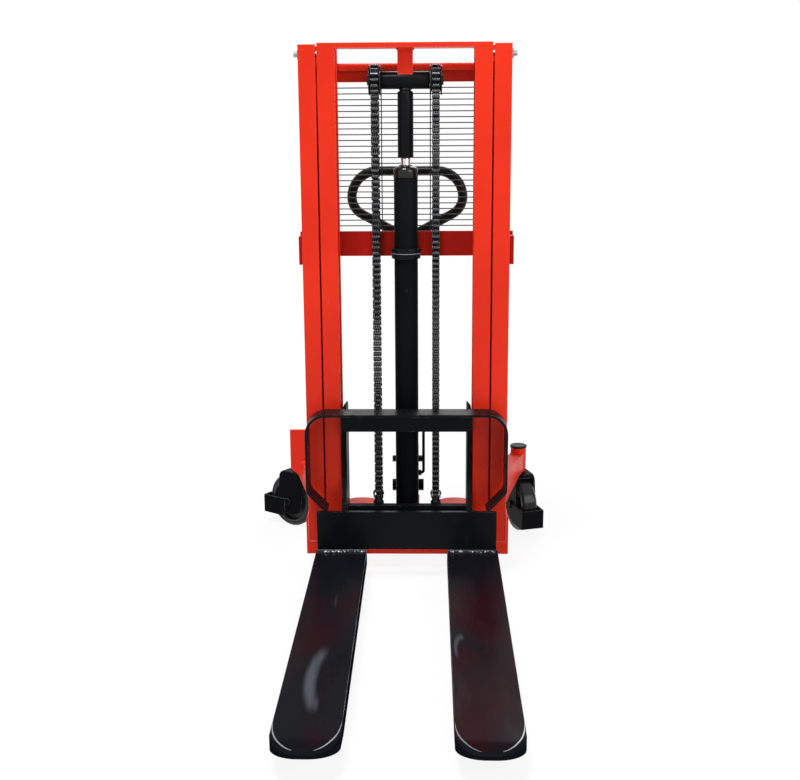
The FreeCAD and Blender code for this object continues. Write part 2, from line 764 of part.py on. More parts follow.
def wheel_axle():
    end = WHEEL_X + WHEEL_WIDTH / 2 + CHAIN_SEAT
    axle = rod(AXLE_RADIUS, Vector(-end, MAST_Y, HEAD_Z), Vector(end, MAST_Y, HEAD_Z))
    tip = Vector(end, MAST_Y, HEAD_Z)
    clip = rod(AXLE_RADIUS * 1.4, tip, tip + X_AXIS * WHEEL_FLANGE)
    return axle.fuse([clip, mirrored(clip)])


def chain_wheel():
    bore = AXLE_RADIUS + RUNNING_FIT
    half = WHEEL_WIDTH / 2
    root = CHAIN_WRAP_RADIUS - CHAIN_HEIGHT - CHAIN_SEAT
    groove = half - WHEEL_FLANGE
    profile = [
        (bore, -half, 0),
        (WHEEL_FLANGE_RADIUS, -half, 0),
        (WHEEL_FLANGE_RADIUS, -groove, 0),
        (root, -groove, 0),
        (root, groove, 0),
        (WHEEL_FLANGE_RADIUS, groove, 0),
        (WHEEL_FLANGE_RADIUS, half, 0),
        (bore, half, 0),
    ]
    return turned(profile, Vector(WHEEL_X, MAST_Y, HEAD_Z), X_AXIS)


def link_half_width(index):
    return (CHAIN_OUTER_WIDTH if index % 2 == 0 else CHAIN_INNER_WIDTH) / 2


def chain_strand(chain_y, links):
    """Straight strand hanging from the wheel's level: outer and inner link rows in turn."""
    right = []
    left = []
    for i in range(links):
        half = link_half_width(i)
        for z in (HEAD_Z - i * CHAIN_PITCH, HEAD_Z - (i + 1) * CHAIN_PITCH):
            right.append((WHEEL_X + half, z, 0))
            left.append((WHEEL_X - half, z, 0))
    strand = prism(in_xz(right + left[::-1]), Y_AXIS * CHAIN_HEIGHT)
    strand.translate(Vector(0, chain_y - CHAIN_HEIGHT / 2, 0))
    return strand


def chain_wrap():
    """Link rows over the top half of the right chain wheel."""
    turn = 180.0 / WRAP_LINKS
    centre = Vector(0, MAST_Y, HEAD_Z)
    near = MAST_Y + CHAIN_WRAP_RADIUS - CHAIN_HEIGHT
    rows = []
    for i in range(WRAP_LINKS):
        half = link_half_width(i)
        section = [
            (WHEEL_X - half, near, 0),
            (WHEEL_X + half, near, 0),
            (WHEEL_X + half, near + CHAIN_HEIGHT, 0),
            (WHEEL_X - half, near + CHAIN_HEIGHT, 0),
        ]
        face = Part.Face(outline(in_xy(section)))
        face.translate(Vector(0, 0, HEAD_Z))
        row = face.revolve(centre, X_AXIS, turn)
        row.rotate(centre, X_AXIS, turn * i)
        rows.append(row)
    return rows[0].fuse(rows[1:]).removeSplitter()


# Rollers

def roller(radius, width, pin, centre):
    profile = barrel_profile(pin + RUNNING_FIT, radius, width / 2, ROLLER_EDGE)
    return turned(profile, centre, X_AXIS)


def lower_roller_centre():
    x = OUTER_X - WEB_THICK - ROLLER_SIDE_GAP * 2 - LOWER_ROLLER_WIDTH / 2
    return Vector(x, MAST_Y, LOWER_ROLLER_Z)


def lower_roller():
    radius = COLUMN_DEPTH / 2 - FLANGE_THICK - ROLLER_CLEAR
    return roller(radius, LOWER_ROLLER_WIDTH, PIN_RADIUS, lower_roller_centre())


def lower_roller_pin():
    centre = lower_roller_centre()
    start = Vector(INNER_WEB_X + WEB_THICK / 2, centre.y, centre.z)
    shoulder = centre - X_AXIS * (LOWER_ROLLER_WIDTH / 2 + CHAIN_SEAT)
    end = centre + X_AXIS * (LOWER_ROLLER_WIDTH / 2)
    return rod(PIN_RADIUS, start, end).fuse(rod(PIN_RADIUS * 1.5, start, shoulder))


def top_roller():
    x = INNER_WEB_X + WEB_THICK / 2 + ROLLER_SIDE_GAP + CARRIAGE_ROLLER_WIDTH / 2
    centre = Vector(x, TOP_ROLLER_Y, TOP_STUD_Z)
    return roller(TOP_ROLLER_RADIUS, CARRIAGE_ROLLER_WIDTH, STUD_RADIUS, centre)


def carriage_roller_centre(z):
    x = INNER_WEB_X - WEB_THICK / 2 - ROLLER_SIDE_GAP - CARRIAGE_ROLLER_WIDTH / 2
    return Vector(x, INNER_DEPTH / 2, z)


def carriage_roller(z):
    radius = INNER_DEPTH / 2 - FLANGE_THICK - ROLLER_CLEAR
    return roller(radius, CARRIAGE_ROLLER_WIDTH, PIN_RADIUS, carriage_roller_centre(z))


def carriage_roller_pin(z):
    centre = carriage_roller_centre(z)
    start = Vector(SIDE_OUT_X, centre.y, z)
    return rod(PIN_RADIUS, start, centre + X_AXIS * (CARRIAGE_ROLLER_WIDTH / 2))


# Carriage and forks

def side_plate():
    """Upright carriage plate, wide at its foot to reach the lower plate."""
    top = HOOP_TOP + SIDE_PLATE_RISE
    back = INNER_DEPTH - FLANGE_THICK
    foot = CARRIAGE_FRONT + CARRIAGE_PLATE
    profile = [
        (foot, SIDE_PLATE_BOTTOM, 0),
        (foot, LOWER_PLATE_TOP, 0),
        (HOOP_BACK, SIDE_PLATE_SHOULDER, SIDE_PLATE * 2),
        (HOOP_BACK, top, 0),
        (back, top, SIDE_PLATE * 2),
        (back, SIDE_PLATE_BOTTOM, SIDE_PLATE),
    ]
    plate = prism(in_yz(profile), X_AXIS * SIDE_PLATE)
    plate.translate(Vector(SIDE_IN_X, 0, 0))
    slant = [
        (SIDE_OUT_X, top - SIDE_PLATE_SLANT, 0),
        (SIDE_OUT_X, top, 0),
        (SIDE_IN_X + SIDE_PLATE_TIP, top, 0),
    ]
    corner = prism(in_xz(slant), Y_AXIS * (back - HOOP_BACK))
    corner.translate(Vector(0, HOOP_BACK, 0))
    return plate.cut(corner)


def lower_plate():
    """Plate standing on the forks, its lower edge raised between them."""
    back = CARRIAGE_FRONT + CARRIAGE_PLATE
    half = LOWER_PLATE_WIDTH / 2
    notch = FORK_X - FORK_WIDTH / 2
    right = [
        (notch, FORK_TOP + LOWER_PLATE_NOTCH, 0),
        (notch, FORK_TOP, 0),
        (half, FORK_TOP, EDGE_RADIUS),
        (half, LOWER_PLATE_TOP, EDGE_RADIUS),
    ]
    left = [(-x, z, r) for x, z, r in right[::-1]]
    plate = prism(in_xz(right + left), Y_AXIS * (back - CARRIAGE_FRONT))
    plate.translate(Vector(0, CARRIAGE_FRONT, 0))
    return plate


def upper_plate():
    top = HOOP_TOP - HOOP_BAR
    return box(-SIDE_OUT_X, SIDE_OUT_X, HOOP_BACK - CARRIAGE_PLATE, HOOP_BACK, top - UPPER_PLATE_HEIGHT, top)


def carriage_hoop():
    """Flat bar bent over the carriage: rounded top corners, knees, and feet on the lower plate."""
    def bar_line(inset):
        foot_x = HOOP_FOOT_X - inset
        side_x = HOOP_HALF - inset
        top = HOOP_TOP - inset
        radius = HOOP_RADIUS - inset
        knee = HOOP_RADIUS / 2
        right = [
            (foot_x, LOWER_PLATE_TOP, 0),
            (side_x, HOOP_KNEE, knee),
            (side_x, top, radius),
        ]
        return right + [(-x, z, r) for x, z, r in right[::-1]]
    outer = in_xz(bar_line(0))
    inner = in_xz(bar_line(HOOP_BAR))
    depth = HOOP_BACK - CARRIAGE_FRONT
    hoop = prism(outer, Y_AXIS * depth).cut(prism(inner, Y_AXIS * depth))
    hoop.translate(Vector(0, CARRIAGE_FRONT, 0))
    return hoop


def carriage_crossbar():
    front = CROSSBAR_BACK - CROSSBAR_DEPTH
    top = CROSSBAR_TOP
    bar = box(-SIDE_IN_X, SIDE_IN_X, front, CROSSBAR_BACK, CROSSBAR_BOTTOM, top)
    lug = box(WHEEL_X - LUG_WIDTH / 2, WHEEL_X + LUG_WIDTH / 2, CROSSBAR_BACK,
              CHAIN_FRONT_Y + ANCHOR_NUT_RADIUS, top - LUG_HEIGHT, top)
    hole = rod(ANCHOR_RADIUS + FIXED_FIT, Vector(WHEEL_X, CHAIN_FRONT_Y, CROSSBAR_BOTTOM),
               Vector(WHEEL_X, CHAIN_FRONT_Y, top))
    return bar.fuse([lug, mirrored(lug)]).cut([hole, mirrored(hole)]).removeSplitter()


def carriage_chain_anchor():
    """Stud through the crossbar's lug with a nut below and a cone up to the chain."""
    base = CROSSBAR_TOP - LUG_HEIGHT
    height = FRONT_CHAIN_END - base
    wide = ANCHOR_NUT_RADIUS
    profile = [
        (0, -LUG_HEIGHT / 2, 0),
        (wide, -LUG_HEIGHT / 2, 0),
        (wide, 0, 0),
        (ANCHOR_RADIUS, 0, 0),
        (ANCHOR_RADIUS, LUG_HEIGHT, 0),
        (wide, LUG_HEIGHT, 0),
        (CHAIN_OUTER_WIDTH / 2, height, 0),
        (0, height, 0),
    ]
    return turned(profile, Vector(WHEEL_X, CHAIN_FRONT_Y, base), Z_AXIS)


def fork():
    """Inverted pressed channel with a round, bevelled nose and the weld at its heel."""
    left = FORK_X - FORK_WIDTH / 2
    right = FORK_X + FORK_WIDTH / 2
    low = FORK_TOP - FORK_DEPTH
    plan = [
        (left, FORK_HEEL, 0),
        (left, FORK_TIP, FORK_NOSE_RADIUS),
        (right, FORK_TIP, FORK_NOSE_RADIUS),
        (right, FORK_HEEL, 0),
    ]
    body = prism(in_xy(plan), Vector(0, 0, FORK_TOP))
    nose_top = FORK_TOP - NOSE_DROP
    side = [
        (FORK_HEEL, low, 0),
        (FORK_TIP + NOSE_RISE, low, NOSE_RISE / 2),
        (FORK_TIP, nose_top - NOSE_EDGE, 0),
        (FORK_TIP, nose_top, 0),
        (FORK_TIP + NOSE_BEVEL, FORK_TOP, NOSE_BEVEL / 2),
        (FORK_HEEL, FORK_TOP, 0),
    ]
    sweep = prism(in_yz(side), X_AXIS * FORK_WIDTH)
    sweep.translate(Vector(left, 0, 0))
    hollow_nose = FORK_TIP + NOSE_SOLID
    hollow_radius = FORK_NOSE_RADIUS - FORK_WALL
    hollow = [
        (left + FORK_WALL, FORK_HEEL, 0),
        (left + FORK_WALL, hollow_nose, hollow_radius),
        (right - FORK_WALL, hollow_nose, hollow_radius),
        (right - FORK_WALL, FORK_HEEL, 0),
    ]
    inside = prism(in_xy(hollow), Vector(0, 0, FORK_TOP - FORK_WALL))
    bead = [
        (CARRIAGE_FRONT - HEEL_WELD, FORK_TOP, 0),
        (CARRIAGE_FRONT, FORK_TOP, 0),
        (CARRIAGE_FRONT, FORK_TOP + HEEL_WELD, 0),
    ]
    weld = prism(in_yz(bead), X_AXIS * FORK_WIDTH)
    weld.translate(Vector(left, 0, 0))
    return body.common(sweep).cut(inside).fuse(weld)


# Casters, built with the swivel on the Z axis and the guard towards +X

def caster_fork():
    """Swivel fork with its kingpin, two cheeks and the open guard box round the wheel's end."""
    top = TUBE_BOTTOM - CROWN_GAP
    inner = CASTER_WHEEL_WIDTH / 2 + CHEEK_GAP
    outer = inner + CHEEK
    axle_z = CASTER_WHEEL_RADIUS
    profile = [
        (-CROWN_BACK, top, CROWN_ROUND),
        (CROWN_FRONT, top, CROWN_ROUND),
        (CASTER_TRAIL + CHEEK_HALF, axle_z - CHEEK_DROP, CHEEK_ROUND),
        (CASTER_TRAIL - CHEEK_HALF, axle_z - CHEEK_DROP, CHEEK_ROUND),
    ]
    solid = prism(in_xz(profile), Y_AXIS * (2 * outer))
    solid.translate(Vector(0, -outer, 0))
    well = box(-GUARD_END, GUARD_END, -inner, inner, 0, top - CROWN)
    solid = solid.cut(well)
    pin_top = TUBE_BOTTOM + TUBE_HEIGHT - CROWN_GAP
    pin = rod(KINGPIN_RADIUS, Vector(0, 0, top - CROWN / 2), Vector(0, 0, pin_top))
    far = GUARD_END
    wide = outer + GUARD_WALL
    guard_top = GUARD_BOTTOM + GUARD_HEIGHT
    near = CASTER_TRAIL + axle_head_radius() + GUARD_HEAD_GAP
    guard = box(near, far, -wide, wide, GUARD_BOTTOM, guard_top)
    guard = guard.cut(box(near, far - GUARD_WALL, -outer, outer, GUARD_BOTTOM, guard_top))
    axle_end = Vector(CASTER_TRAIL, wide, axle_z)
    axle = rod(CASTER_AXLE_RADIUS + FIXED_FIT, axle_end - Y_AXIS * (2 * wide), axle_end)
    return solid.fuse([pin, guard]).cut(axle).removeSplitter()


def axle_head_radius():
    """Corner radius of the hexagons on the caster axle's ends."""
    return CASTER_AXLE_RADIUS * 3 / math.sqrt(3)


def caster_axle():
    inner = CASTER_WHEEL_WIDTH / 2 + CHEEK_GAP + CHEEK
    head = CASTER_AXLE_RADIUS
    start = Vector(CASTER_TRAIL, -inner, CASTER_WHEEL_RADIUS)
    end = Vector(CASTER_TRAIL, inner, CASTER_WHEEL_RADIUS)
    axle = rod(CASTER_AXLE_RADIUS, start, end)
    across = axle_head_radius() * math.sqrt(3)
    nut = hexagon(across, start, start - Y_AXIS * head)
    bolt_head = hexagon(across, end, end + Y_AXIS * head)
    return axle.fuse([nut, bolt_head])


def caster_tyre():
    half = CASTER_WHEEL_WIDTH / 2
    bore = CASTER_WHEEL_RADIUS - TYRE_THICK
    profile = barrel_profile(bore, CASTER_WHEEL_RADIUS, half, TYRE_EDGE)
    return turned(profile, Vector(CASTER_TRAIL, 0, CASTER_WHEEL_RADIUS), Y_AXIS)


def caster_hub():
    """Rim, web and bearing boss of the caster wheel."""
    half = CASTER_WHEEL_WIDTH / 2
    rim = CASTER_WHEEL_RADIUS - TYRE_THICK - FIXED_FIT
    rim_in = rim - TYRE_THICK / 2
    bore = CASTER_AXLE_RADIUS + RUNNING_FIT
    boss = half + CHEEK_GAP - CHAIN_SEAT
    web = half / 3
    profile = [
        (bore, -boss, 0),
        (BOSS_RADIUS, -boss, 0),
        (BOSS_RADIUS, -web, 0),
        (rim_in, -web, 0),
        (rim_in, -half, 0),
        (rim, -half, 0),
        (rim, half, 0),
        (rim_in, half, 0),
        (rim_in, web, 0),
        (BOSS_RADIUS, web, 0),
        (BOSS_RADIUS, boss, 0),
        (bore, boss, 0),
    ]
    return turned(profile, Vector(CASTER_TRAIL, 0, CASTER_WHEEL_RADIUS), Y_AXIS)


def at_swivel(shape, side, turn):
    """Puts a caster piece under its swivel tube, turned about the tube."""
    placed = shape.copy()
    placed.rotate(ORIGIN, Z_AXIS, turn)
    placed.translate(Vector(side * SWIVEL_X, SWIVEL_Y, 0))
    return placed


# Pump and tiller

def leaned(point):
    """Turns a point of the upright tiller, measured from its pivot, to the tiller's lean."""
    turn = FreeCAD.Rotation(X_AXIS, -TILLER_LEAN)
    return turn.multVec(point) + Vector(0, PIVOT_Y, PIVOT_Z)


def press_point(x):
    return leaned(Vector(x, PRESS_Y, PRESS_Z))


def tilted(shape):
    placed = shape.copy()
    placed.rotate(ORIGIN, X_AXIS, -TILLER_LEAN)
    placed.translate(Vector(0, PIVOT_Y, PIVOT_Z))
    return placed


def pump_unit():
    """Oil tank, pivot lug and plunger barrel in one casting on the deck."""
    press = press_point(0)
    tank_profile = [
        (-TANK_HALF, TANK_FRONT, TANK_EDGE),
        (TANK_HALF, TANK_FRONT, TANK_EDGE),
        (TANK_HALF, TANK_BACK, TANK_EDGE),
        (-TANK_HALF, TANK_BACK, TANK_EDGE),
    ]
    tank = prism(in_xy(tank_profile), Vector(0, 0, TANK_TOP - DECK_TOP))
    tank.translate(Vector(0, 0, DECK_TOP))
    foot = box(-PUMP_HALF, PUMP_HALF, TANK_FRONT, press.y, DECK_TOP, PUMP_BARREL_TOP)
    eye_base = [
        (PIVOT_Y - LUG_RADIUS, DECK_TOP, 0),
        (PIVOT_Y - LUG_RADIUS, PIVOT_Z + LUG_RADIUS, LUG_RADIUS * 0.99),
        (PIVOT_Y + LUG_RADIUS, PIVOT_Z + LUG_RADIUS, LUG_RADIUS * 0.99),
        (PIVOT_Y + LUG_RADIUS, DECK_TOP, 0),
    ]
    eye = prism(in_yz(eye_base), X_AXIS * (2 * PUMP_HALF))
    eye.translate(Vector(-PUMP_HALF, 0, 0))
    mouth = Vector(0, press.y, PUMP_BARREL_TOP)
    barrel = rod(PUMP_BARREL_RADIUS, Vector(0, press.y, PUMP_BARREL_BOTTOM), mouth)
    bore = rod(PLUNGER_RADIUS + RUNNING_FIT, Vector(0, press.y, PUMP_BARREL_BOTTOM + PLATE), mouth)
    pivot = Vector(PUMP_HALF, PIVOT_Y, PIVOT_Z)
    pin_hole = rod(PIVOT_RADIUS + FIXED_FIT, pivot - X_AXIS * (2 * PUMP_HALF), pivot)
    return tank.fuse([foot, eye, barrel]).cut([bore, pin_hole]).removeSplitter()


def pump_plunger():
    press = press_point(0)
    top = press.z - PRESS_RADIUS - PRESS_GAP
    foot = PUMP_BARREL_TOP - (PUMP_BARREL_TOP - PUMP_BARREL_BOTTOM) / 3
    profile = [
        (0, foot, 0),
        (PLUNGER_RADIUS, foot, 0),
        (PLUNGER_RADIUS, top - PLUNGER_EDGE, 0),
        (PLUNGER_RADIUS - PLUNGER_EDGE, top, 0),
        (0, top, 0),
    ]
    return turned(profile, Vector(0, press.y, 0), Z_AXIS)


def tiller_pivot_pin():
    cheek_out = PUMP_HALF + YOKE_GAP + YOKE_CHEEK
    start = Vector(-cheek_out - CHAIN_SEAT, PIVOT_Y, PIVOT_Z)
    end = Vector(cheek_out + CHAIN_SEAT, PIVOT_Y, PIVOT_Z)
    pin = rod(PIVOT_RADIUS, start, end)
    return pin.fuse([hexagon(PIVOT_NUT_RADIUS * 2, start, start - X_AXIS * PIVOT_NUT),
                     hexagon(PIVOT_NUT_RADIUS * 2, end, end + X_AXIS * PIVOT_NUT)])


def tiller_yoke():
    """Two cheeks on the pivot, a press bar over the plunger and a socket head for the shaft."""
    cheek_in = PUMP_HALF + YOKE_GAP
    cheek_out = cheek_in + YOKE_CHEEK
    head_low = YOKE_TOP - YOKE_HEAD
    profile = [
        (-YOKE_EYE, -YOKE_EYE, YOKE_EYE * 0.95),
        (YOKE_EYE, -YOKE_EYE, YOKE_EYE * 0.95),
        (PRESS_Y + PRESS_RADIUS, PRESS_Z - PRESS_RADIUS, PRESS_RADIUS),
        (PRESS_Y + PRESS_RADIUS, PRESS_Z + PRESS_RADIUS, PRESS_RADIUS),
        (YOKE_EYE, YOKE_TOP, 0),
        (-YOKE_EYE, YOKE_TOP, 0),
    ]
    yoke = prism(in_yz(profile), X_AXIS * (2 * cheek_out))
    yoke.translate(Vector(-cheek_out, 0, 0))
    gap = box(-cheek_in, cheek_in, -YOKE_EYE * 2, PRESS_Y * 2, -YOKE_EYE * 2, head_low)
    bar = rod(PRESS_RADIUS, Vector(-cheek_in, PRESS_Y, PRESS_Z), Vector(cheek_in, PRESS_Y, PRESS_Z))
    eye = rod(PIVOT_RADIUS + RUNNING_FIT, Vector(-cheek_out, 0, 0), Vector(cheek_out, 0, 0))
    socket = rod(SHAFT_RADIUS + FIXED_FIT, Vector(0, 0, head_low), Vector(0, 0, YOKE_TOP))
    start = Vector(cheek_out, 0, YOKE_BOLT_Z)
    bolt = hexagon(PIVOT_RADIUS * 2, start, start + X_AXIS * PIVOT_NUT)
    yoke = yoke.cut(gap).fuse(bar).cut([eye, socket])
    return tilted(yoke.fuse([bolt, mirrored(bolt)]))


def tiller_handle():
    """Shaft and closed grip loop of round tube."""
    shaft = rod(SHAFT_RADIUS, Vector(0, 0, YOKE_TOP - YOKE_HEAD), Vector(0, 0, LOOP_BASE))
    right = [
        (SHAFT_RADIUS, LOOP_BASE, LOOP_RADIUS),
        (LOOP_WAIST_X, LOOP_WAIST, LOOP_BEND),
        (LOOP_SHOULDER_X, LOOP_TOP, LOOP_CORNER),
    ]
    middle = Vector(0, 0, LOOP_TOP)
    path = outline(in_xz([(0, LOOP_TOP, 0)] + [(-x, z, r) for x, z, r in right[::-1]] + right))
    skins = []
    for radius in (LOOP_RADIUS, LOOP_RADIUS - TUBE_WALL):
        section = Part.Wire(Part.makeCircle(radius, middle, X_AXIS))
        skins.append(path.makePipeShell([section], True, False))
    hollow = rod(SHAFT_RADIUS - TUBE_WALL, Vector(0, 0, YOKE_TOP - YOKE_HEAD), Vector(0, 0, LOOP_BASE))
    return tilted(shaft.fuse(skins[0]).cut([skins[1], hollow]))


def lowering_lever():
    """Bent rod on the side of the tank that opens the release valve."""
    start = Vector(TANK_HALF + CHAIN_SEAT, LEVER_Y, LEVER_Z)
    corner = Vector(LEVER_X, LEVER_Y, LEVER_Z)
    top = Vector(LEVER_X, LEVER_Y, LEVER_TOP)
    path = outline([(start, 0), (corner, LEVER_BEND), (top, 0)], closed=False)
    section = Part.Wire(Part.makeCircle(LEVER_RADIUS, start, X_AXIS))
    bar = path.makePipeShell([section], True, False)
    boss = rod(LEVER_BOSS, start, start + X_AXIS * LEVER_BOSS)
    return bar.fuse(boss)


# Nodes

right_load_axle = rod(LOAD_AXLE_RADIUS, load_axle_end(-1), load_axle_end(1))
lower_pin = lower_roller_pin()
low_pin = carriage_roller_pin(CARRIAGE_ROLLER_LOW)
high_pin = carriage_roller_pin(CARRIAGE_ROLLER_HIGH)

nodes = {
    "left_outer_column": mirrored(outer_column()),
    "right_outer_column": outer_column(),
    "base_beam": base_beam(),
    "left_leg": mirrored(leg()),
    "right_leg": leg(),
    "load_roller_axles": pair(right_load_axle),
    "left_load_roller": mirrored(load_roller()),
    "right_load_roller": load_roller(),
    "rear_lower_beam": rear_lower_beam(),
    "rear_deck": rear_deck(),
    "left_rear_arm": left_rear_arm(),
    "right_rear_arm": rear_arm(),
    "swivel_caps": pair(swivel_cap()),
    "rear_top_beam": rear_top_beam(),
    "rear_mid_beam": rear_mid_beam(),
    "wire_screen": wire_screen(),
    "top_roller_studs": pair(top_roller_stud()),
    "fixed_chain_anchors": pair(fixed_chain_anchor()),
    "cylinder_barrel": cylinder_barrel(),
    "cylinder_gland": cylinder_gland(),
    "cylinder_collar": cylinder_collar(),
    "rear_chains": pair(chain_strand(CHAIN_REAR_Y, REAR_CHAIN_LINKS)),
    "left_inner_column": mirrored(inner_column()),
    "right_inner_column": inner_column(),
    "inner_top_bar": inner_top_bar(),
    "inner_lower_tie": inner_lower_tie(),
    "crosshead": crosshead(),
    "wheel_axle": wheel_axle(),
    "piston_rod": piston_rod(),
    "lower_roller_pins": pair(lower_pin),
    "front_chains": pair(chain_strand(CHAIN_FRONT_Y, FRONT_CHAIN_LINKS)),
    "chain_wraps": pair(chain_wrap()),
    "chain_wheels": pair(chain_wheel()),
    "mast_upper_rollers": pair(top_roller()),
    "mast_lower_rollers": pair(lower_roller()),
    "carriage_upper_rollers": pair(carriage_roller(CARRIAGE_ROLLER_HIGH)),
    "carriage_lower_rollers": pair(carriage_roller(CARRIAGE_ROLLER_LOW)),
    "carriage_roller_pins": Part.Compound([low_pin, high_pin, mirrored(low_pin), mirrored(high_pin)]),
    "carriage_side_plates": pair(side_plate()),
    "carriage_lower_plate": lower_plate(),
    "carriage_upper_plate": upper_plate(),
    "carriage_hoop": carriage_hoop(),
    "carriage_crossbar": carriage_crossbar(),
    "carriage_chain_anchors": pair(carriage_chain_anchor()),
    "left_fork": mirrored(fork()),
    "right_fork": fork(),
    "pump_unit": pump_unit(),
    "pump_plunger": pump_plunger(),
    "tiller_pivot_pin": tiller_pivot_pin(),
    "tiller_yoke": tiller_yoke(),
    "tiller_handle": tiller_handle(),
    "lowering_lever": lowering_lever(),
}

caster_pieces = {
    "fork": caster_fork(),
    "axle": caster_axle(),
    "tyre": caster_tyre(),
    "hub": caster_hub(),
}
for name, shape in caster_pieces.items():
    nodes["left_caster_" + name] = at_swivel(shape, -1, LEFT_CASTER_TURN)
    nodes["right_caster_" + name] = at_swivel(shape, 1, RIGHT_CASTER_TURN)

for name, shape in nodes.items():
    shape.exportStep("parts/" + name + ".step")
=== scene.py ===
import json
import math

import bmesh
import bpy
from mathutils import Matrix, Vector


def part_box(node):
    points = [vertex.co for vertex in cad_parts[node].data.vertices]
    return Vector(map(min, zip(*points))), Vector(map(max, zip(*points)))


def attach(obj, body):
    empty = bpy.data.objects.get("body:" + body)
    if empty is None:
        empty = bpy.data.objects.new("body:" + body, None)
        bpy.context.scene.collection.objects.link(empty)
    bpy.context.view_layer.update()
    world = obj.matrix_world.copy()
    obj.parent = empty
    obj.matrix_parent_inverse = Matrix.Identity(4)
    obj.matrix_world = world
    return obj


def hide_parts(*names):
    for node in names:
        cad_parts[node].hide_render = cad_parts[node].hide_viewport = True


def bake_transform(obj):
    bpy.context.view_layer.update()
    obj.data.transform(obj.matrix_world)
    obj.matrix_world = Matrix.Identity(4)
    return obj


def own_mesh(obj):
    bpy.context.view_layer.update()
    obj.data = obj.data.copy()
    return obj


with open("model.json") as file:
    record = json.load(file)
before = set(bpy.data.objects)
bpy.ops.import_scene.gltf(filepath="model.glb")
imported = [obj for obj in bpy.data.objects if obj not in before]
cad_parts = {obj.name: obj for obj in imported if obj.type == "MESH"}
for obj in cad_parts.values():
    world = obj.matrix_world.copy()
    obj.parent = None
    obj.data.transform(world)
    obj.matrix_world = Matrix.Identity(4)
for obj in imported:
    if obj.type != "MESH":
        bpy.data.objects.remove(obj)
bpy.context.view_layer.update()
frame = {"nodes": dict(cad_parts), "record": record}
nodes = frame["nodes"]

# Sizes are in metres, in the frame's own axes: +X right, +Y from the forks to the operator, +Z up.
MM = 0.001
X_AXIS = Vector((1, 0, 0))
Y_AXIS = Vector((0, 1, 0))
Z_AXIS = Vector((0, 0, 1))
MERGE_GAP = 0.01 * MM


# Materials

class Graph:
    """Builds the shader nodes of one material."""

    def __init__(self, name):
        self.material = bpy.data.materials.new(name)
        self.material.use_nodes = True
        self.tree = self.material.node_tree
        self.shader = self.tree.nodes["Principled BSDF"]
        self.place = self.add("ShaderNodeTexCoord").outputs["Object"]

    def add(self, kind, values=None, **settings):
        node = self.tree.nodes.new(kind)
        for key, value in settings.items():
            setattr(node, key, value)
        for key, value in (values or {}).items():
            self.put(node.inputs[key], value)
        return node

    def put(self, socket, value):
        """Links a socket to another one, or sets its constant."""
        if isinstance(value, bpy.types.NodeSocket):
            self.tree.links.new(value, socket)
        else:
            socket.default_value = value

    def set(self, **values):
        """Sets the shader's sockets by name, with _ for a space."""
        for key, value in values.items():
            self.put(self.shader.inputs[key.replace("_", " ")], value)

    def noise(self, scale, detail, stretch=(1, 1, 1)):
        spread = self.add("ShaderNodeMapping", {"Vector": self.place, "Scale": stretch})
        values = {"Vector": spread.outputs["Vector"], "Scale": scale, "Detail": detail}
        return self.add("ShaderNodeTexNoise", values).outputs["Fac"]

    def span(self, value, low, high, to_low=0.0, to_high=1.0):
        """Soft step of a value from to_low at low to to_high at high."""
        values = {"Value": value, "From Min": low, "From Max": high, "To Min": to_low, "To Max": to_high}
        return self.add("ShaderNodeMapRange", values, interpolation_type="SMOOTHSTEP").outputs["Result"]

    def patches(self, scale, detail, low, high, to_low=0.0, to_high=1.0, stretch=(1, 1, 1)):
        """Noise with a soft step between two of its levels."""
        return self.span(self.noise(scale, detail, stretch), low, high, to_low, to_high)

    def math(self, operation, a, b):
        return self.add("ShaderNodeMath", {0: a, 1: b}, operation=operation).outputs["Value"]

    def times(self, a, b):
        return self.math("MULTIPLY", a, b)

    def larger(self, a, b):
        return self.math("MAXIMUM", a, b)

    def vector(self, operation, *values):
        return self.add("ShaderNodeVectorMath", dict(enumerate(values)), operation=operation)

    def part(self, value, axis):
        """One of a vector's parts: X, Y or Z."""
        return self.add("ShaderNodeSeparateXYZ", {"Vector": value}).outputs[axis]

    def mix(self, share, a, b):
        return self.add("ShaderNodeMix", {0: share, 6: a, 7: b}, data_type="RGBA").outputs[2]

    def normal(self):
        return self.add("ShaderNodeNewGeometry").outputs["Normal"]

    def edges(self, radius):
        """1 on convex and concave edges, 0 on flat faces."""
        bevel = self.add("ShaderNodeBevel", {"Radius": radius}, samples=4)
        likeness = self.vector("DOT_PRODUCT", bevel.outputs["Normal"], self.normal()).outputs["Value"]
        return self.span(likeness, 0.98, 0.80)

    def near(self, centre, reach, core=0.3):
        """1 within a share (core) of the reach of a point, falling to 0 at the reach, which is per axis."""
        shift = self.vector("SUBTRACT", self.place, centre)
        share = self.vector("DIVIDE", shift.outputs["Vector"], reach)
        length = self.vector("LENGTH", share.outputs["Vector"])
        return self.span(length.outputs["Value"], 1.0, core)

    def bump(self, height, strength, distance):
        values = {"Height": height, "Strength": strength, "Distance": distance}
        return self.add("ShaderNodeBump", values).outputs["Normal"]


def rgb(red, green, blue):
    return (red, green, blue, 1.0)


